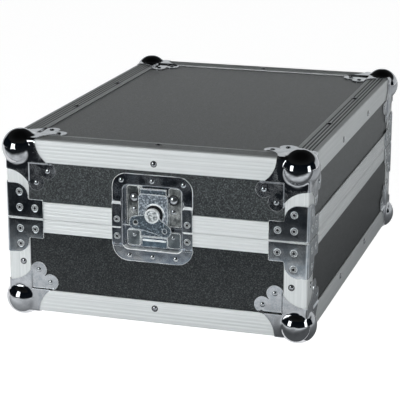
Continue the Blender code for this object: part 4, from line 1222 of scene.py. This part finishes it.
def handle_dish():
    """The recessed dish with two lugs that carry the bail's pins.

    Each outline is given as half width, half height and corner radius, and then its depth.
    """
    opening = (44.0, 27.0, 6.0)
    rings = [((55.0, 38.0, 12.0), EAR), ((50.0, 33.0, 9.5), EAR)]
    for grow, sink in bend(1.2, (0.0, 0.4, 0.8, 1.2, QUARTER)):
        rings.append(([size + grow for size in opening], EAR + sink))
    for rise, shrink in bend(1.2, (0.0, 0.5, 1.0, QUARTER)):
        rings.append(([size - shrink for size in opening], RECESS_DEPTH - rise))
    rows = []
    for (half_x, half_z, radius), depth in rings:
        outline = rounded(-half_x, half_x, -half_z, half_z, (radius,) * 4, 7)
        rows.append([(x, depth, z) for x, z in outline])
    form = bmesh.new()
    grid, _ = quads(form, rows, closed=True)
    form.faces.new(grid[-1])
    parts = [thickened(mesh_from(form), SHEET, 0.3)]
    back = RECESS_DEPTH + 0.2
    pin = (PIN_DEPTH, PIN_UP)
    outline = [(back, PIN_UP - 5.8), *reversed(arc(pin, 5.8, 90, 270, 14)), (back, PIN_UP + 5.8)]
    for left in (-43.2, 39.4):
        bore = prism(arc(pin, 3.3, 0, 345, 23), "X", left - 1.0, left + 5.0)
        parts.append(bevelled(carved(prism(outline, "X", left, left + 3.8), bore), 0.3))
    return merged([(part, HERE) for part in parts])


def bail():
    """A round bar bent down from its two pins, with the grip's stretch level."""
    bar = 3.0
    eye = 3.8
    corner = 6.0
    side = 35.0
    right = [(43.0, 0.0), (40.5, 0.0), *arc((side + eye, -eye), eye, 90, 180, 7)]
    right += arc((side - corner, GRIP_DROP + corner), corner, 0, -90, 8)
    path = right + mirror(right)
    rows = []
    for index, (x, z) in enumerate(path):
        run = Vector(path[min(index + 1, len(path) - 1)]) - Vector(path[max(index - 1, 0)])
        run.normalize()
        rows.append([(x - run.y * c, s, z + run.x * c) for c, s in circle(bar, 20)])
    return bevelled(skin(rows, closed=True, capped=True), 0.4, 2, 60.0)


def grip():
    """A rubber sleeve with finger ribs all along it."""
    profile = [(3.3, -27.0), (5.4, -27.0), (6.2, -26.4), (6.5, -25.4)]
    for index in range(-5, 6):
        for radius, shift in ((6.5, -1.3), (6.15, -0.9), (5.95, 0.0), (6.15, 0.9), (6.5, 1.3)):
            profile.append((radius, index * 4.2 + shift))
    profile += [(6.5, 25.4), (6.2, 26.4), (5.4, 27.0), (3.3, 27.0), (3.3, -27.0)]
    rows = [[(h, r * y, GRIP_DROP + r * z) for r, h in profile] for y, z in circle(1.0, 40)]
    return skin([*rows, rows[0]])


def make_handle():
    piece("handle_dish_look", handle_dish(), DISH_ZINC, "base", ["handle_dish"], HANDLE)
    spots = [(-49.5, 0.0), (49.5, 0.0), *[(x, z) for z in (32.5, -32.5) for x in (-30.0, 30.0)]]
    heads = merged([(DOME, at(x, EAR, z)) for x, z in spots])
    piece("handle_dish_rivets", heads, RIVET_STEEL, "base", (), HANDLE)
    pivot = HANDLE @ at(0, PIN_DEPTH, PIN_UP)
    piece("handle_bail_look", bail(), RIVET_STEEL, "handle", ["handle_bail"], pivot)
    piece("handle_grip_look", grip(), RUBBER, "handle", ["handle_grip"], pivot)


# Foam lining


def make_foam_tray():
    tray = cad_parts["base_foam_tray"].data.copy()
    tray.transform(MILLI.inverted())
    tray = bevelled(tray, width=3.0, segments=4)
    item = piece("foam_tray_look", tray, FOAM, "base", ["base_foam_tray"])


def make_foam_pad():
    """The lid's pad: convoluted foam whose bumps fade out along its border."""
    x = 186.9
    y = 261.9
    low = 190.4
    high = 230.4
    pitch = 26.0
    border_width = 14.0
    border_rise = 1.5
    wave_height = 13.0
    across = 101
    along = 141

    def height(u, v):
        fade = max(0.0, min(1.0, min(x - abs(u), y - abs(v)) / border_width))
        wave = 0.5 + 0.5 * math.sin(2 * math.pi * u / pitch) * math.sin(2 * math.pi * v / pitch)
        return low + border_rise * (1 - fade) + wave_height * fade * (1 - wave)

    form = bmesh.new()
    rows = [[(u, v, height(u, v)) for u in np.linspace(-x, x, across)] for v in np.linspace(-y, y, along)]
    grid, _ = quads(form, rows)
    border = grid[0][:-1] + [row[-1] for row in grid[:-1]]
    border += grid[-1][:0:-1] + [row[0] for row in reversed(grid[1:])]
    lifted = [form.verts.new((v.co.x, v.co.y, high)) for v in border]
    for index in range(len(border)):
        form.faces.new((border[index - 1], border[index], lifted[index], lifted[index - 1]))
    form.faces.new(reversed(lifted))
    item = piece("foam_pad_look", outward(form), FOAM, "lid", ["lid_foam_pad"], angle=50.0)


# Panels keep their solids and get the laminate


def dress_panels():
    for name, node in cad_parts.items():
        if name.endswith("_panel"):
            node.data.materials.clear()
            node.data.materials.append(LAMINATES[name.split("_")[0]])


# Stage, light and camera, in metres


def stage_sheet(name, corners, surface):
    """A flat sheet of the stage, whose shader surface(graph) makes."""
    mesh = bpy.data.meshes.new(name)
    mesh.from_pydata(corners, [], [tuple(range(len(corners)))])
    material = bpy.data.materials.new(name)
    material.use_nodes = True
    material.node_tree.nodes.clear()
    graph = Graph(material.node_tree)
    graph.add("OutputMaterial", Surface=surface(graph))
    mesh.materials.append(material)
    return linked(name, mesh)


def floor_surface(g):
    """White where it is seen, directly or in the metal, and plain matt for the light that it gives back."""
    path = g.add("LightPath").outputs
    seen = g.maths("MAXIMUM", path["Is Camera Ray"], path["Is Glossy Ray"])
    seen = g.maths("MAXIMUM", seen, path["Is Transmission Ray"])
    pale = g.add("BsdfDiffuse", Color=(0.80, 0.80, 0.80)).outputs["BSDF"]
    shade = g.add("BsdfDiffuse", Color=(0.45, 0.45, 0.45)).outputs["BSDF"]
    glow = g.add("Emission", Color=(0.93, 0.93, 0.93), Strength=1.0).outputs["Emission"]
    bright = g.join("AddShader", {}, shade, glow).outputs["Shader"]
    return g.join("MixShader", {}, seen, pale, bright).outputs["Shader"]


def make_floor():
    """A wide white floor just under the case, which still takes its shadow."""
    half = 30.0
    corners = [(-half, -half, 0), (half, -half, 0), (half, half, 0), (-half, half, 0)]
    floor = stage_sheet("floor", corners, floor_surface)
    floor.location.z = -0.0002


def cool(level, green=0.0, blue=0.0):
    """A slightly cool grey of a given brightness, with a little green and blue added."""
    return (level * 0.965, level + green, level * 1.01 + blue)


def make_flag(name, corners, axis, levels, uneven=0.0, skew=0.0):
    """A studio flag outside the picture, which only the bright metal reflects.

    levels: (place along the axis, brightness) from first to last. uneven is how far soft clouds raise
    and lower that brightness. skew turns the bands: it is how far they shift per metre across the flag.
    """
    first = levels[0][0]
    span = levels[-1][0] - first

    def surface(g):
        place = g.add("TexCoord").outputs["Object"]
        axes = g.add("SeparateXYZ", Vector=place).outputs
        along = g.maths("MULTIPLY_ADD", axes["X"], skew, axes[axis])
        stops = [((spot - first) / span, cool(level, 0.002, 0.005)) for spot, level in levels]
        glow = g.add("Emission", Color=g.bands(g.ramp(along, first, first + span, 0.0, 1.0), stops))
        if uneven:
            clouds = g.add("TexNoise", Vector=place, Scale=5.0, Detail=3.0).outputs["Fac"]
            g.fill(glow, Strength=g.ramp(clouds, 0.32, 0.68, 1 - uneven, 1 + uneven))
        return glow.outputs["Emission"]

    flag = stage_sheet(name, corners, surface)
    flag.visible_camera = False
    flag.visible_shadow = False
    flag.visible_diffuse = False
    flag.visible_transmission = False


def make_flags():
    """A banded sheet on the floor before the front and beside the right, and dark walls all round. The dark
    bands of the floor sheets next to the case paint its shadow on the floor, as the metal reflects it.
    """
    lift = 0.001
    wide = 3.5
    start, end = -0.276, -4.5
    front = [(-wide, start, lift), (-wide, end, lift), (wide, end, lift), (wide, start, lift)]
    # Dark next to the case: the case's shadow on the floor, painted for the metal to reflect.
    tones = ((start, 0.14), (-0.30, 0.24), (-0.33, 0.54), (-0.37, 0.80), (-0.49, 0.78), (-0.56, 0.52))
    tones += ((-0.60, 0.25), (-0.66, 0.13), (-0.71, 0.05), (-0.78, 0.016), (end, 0.006))
    make_flag("flag_floor_front", front, "Y", tones, uneven=0.30, skew=0.17)
    wall = arc((0.0, 0.0), 4.2, -200, 20, 12)
    height = 2.6
    for index, ((ax, ay), (bx, by)) in enumerate(zip(wall, wall[1:])):
        corners = [(ax, ay, 0.0), (bx, by, 0.0), (bx, by, height), (ax, ay, height)]
        make_flag(f"flag_wall_{index}", corners, "Z", ((0.0, 0.008), (height, 0.003)))
    start, end = 0.201, 2.6
    near_y, far_y = -0.275, 3.0
    right = [(start, near_y, lift), (end, near_y, lift), (end, far_y, lift), (start, far_y, lift)]
    # Dark next to the case: its shadow on the floor, painted for the metal to reflect.
    tones = ((start, 0.10), (0.25, 0.20), (0.35, 0.32), (0.41, 0.54), (0.60, 0.58), (end, 0.34))
    make_flag("flag_floor_right", right, "X", tones)


def make_world():
    """A sky that is bright below the horizon and dark above it."""
    world = bpy.data.worlds.new("studio")
    bpy.context.scene.world = world
    world.use_nodes = True
    g = Graph(world.node_tree)
    height = g.add("SeparateXYZ", Vector=g.add("TexCoord").outputs["Generated"]).outputs["Z"]
    levels = ((0.0, 0.76), (0.28, 0.68), (0.40, 0.02), (1.0, 0.004))
    stops = [(position, cool(level)) for position, level in levels]
    g.fill(g.tree.nodes["Background"], Color=g.bands(height, stops, "EASE"), Strength=1.0)


def make_light(name, location, target, size, watts, glossy=True):
    light = bpy.data.lights.new(name, "AREA")
    light.shape = "RECTANGLE"
    light.size, light.size_y = size
    light.energy = watts
    light.color = (0.965, 1.0, 1.005)
    item = linked(name, light)
    item.location = location
    item.rotation_euler = (Vector(target) - Vector(location)).to_track_quat("-Z", "Y").to_euler()
    item.visible_camera = False
    item.visible_glossy = glossy


def make_lights():
    """Two small softboxes that the metal reflects, and two wide fills that it doesn't."""
    make_light("softbox_left", (-0.62, -1.22, 0.36), (0.0, -0.2, 0.12), (0.42, 0.62), watts=2.8)
    make_light("softbox_right", (1.25, -0.80, 0.34), (0.1, -0.2, 0.12), (0.36, 0.62), watts=1.9)
    make_light("fill_front", (0.6, -3.2, 0.66), (0.0, 0.0, 0.12), (2.6, 1.0), watts=80.0, glossy=False)
    make_light("fill_top", (0.2, 0.1, 2.6), (0.0, 0.0, 0.1), (2.2, 2.2), watts=0.8, glossy=False)


def make_camera():
    """The photo's own camera, solved from the edges of the case."""
    look_down = 16.0686
    look_left = 17.2633
    camera = bpy.data.cameras.new("camera")
    camera.lens = 140.23
    camera.sensor_width = 36.0
    item = linked("camera", camera)
    item.location = (0.614114, -2.054125, 0.716661)
    item.rotation_euler = (math.radians(90 - look_down), 0.0, math.radians(look_left))
    bpy.context.scene.camera = item


make_camera()
make_floor()
make_flags()
make_world()
make_lights()
dress_panels()
make_edges()
make_posts()
make_rims()
make_profile_rivets()
make_ball_corners()
make_braces()
make_latches()
make_handle()
make_foam_tray()
make_foam_pad()
bpy.context.scene.view_settings.view_transform = "Standard"
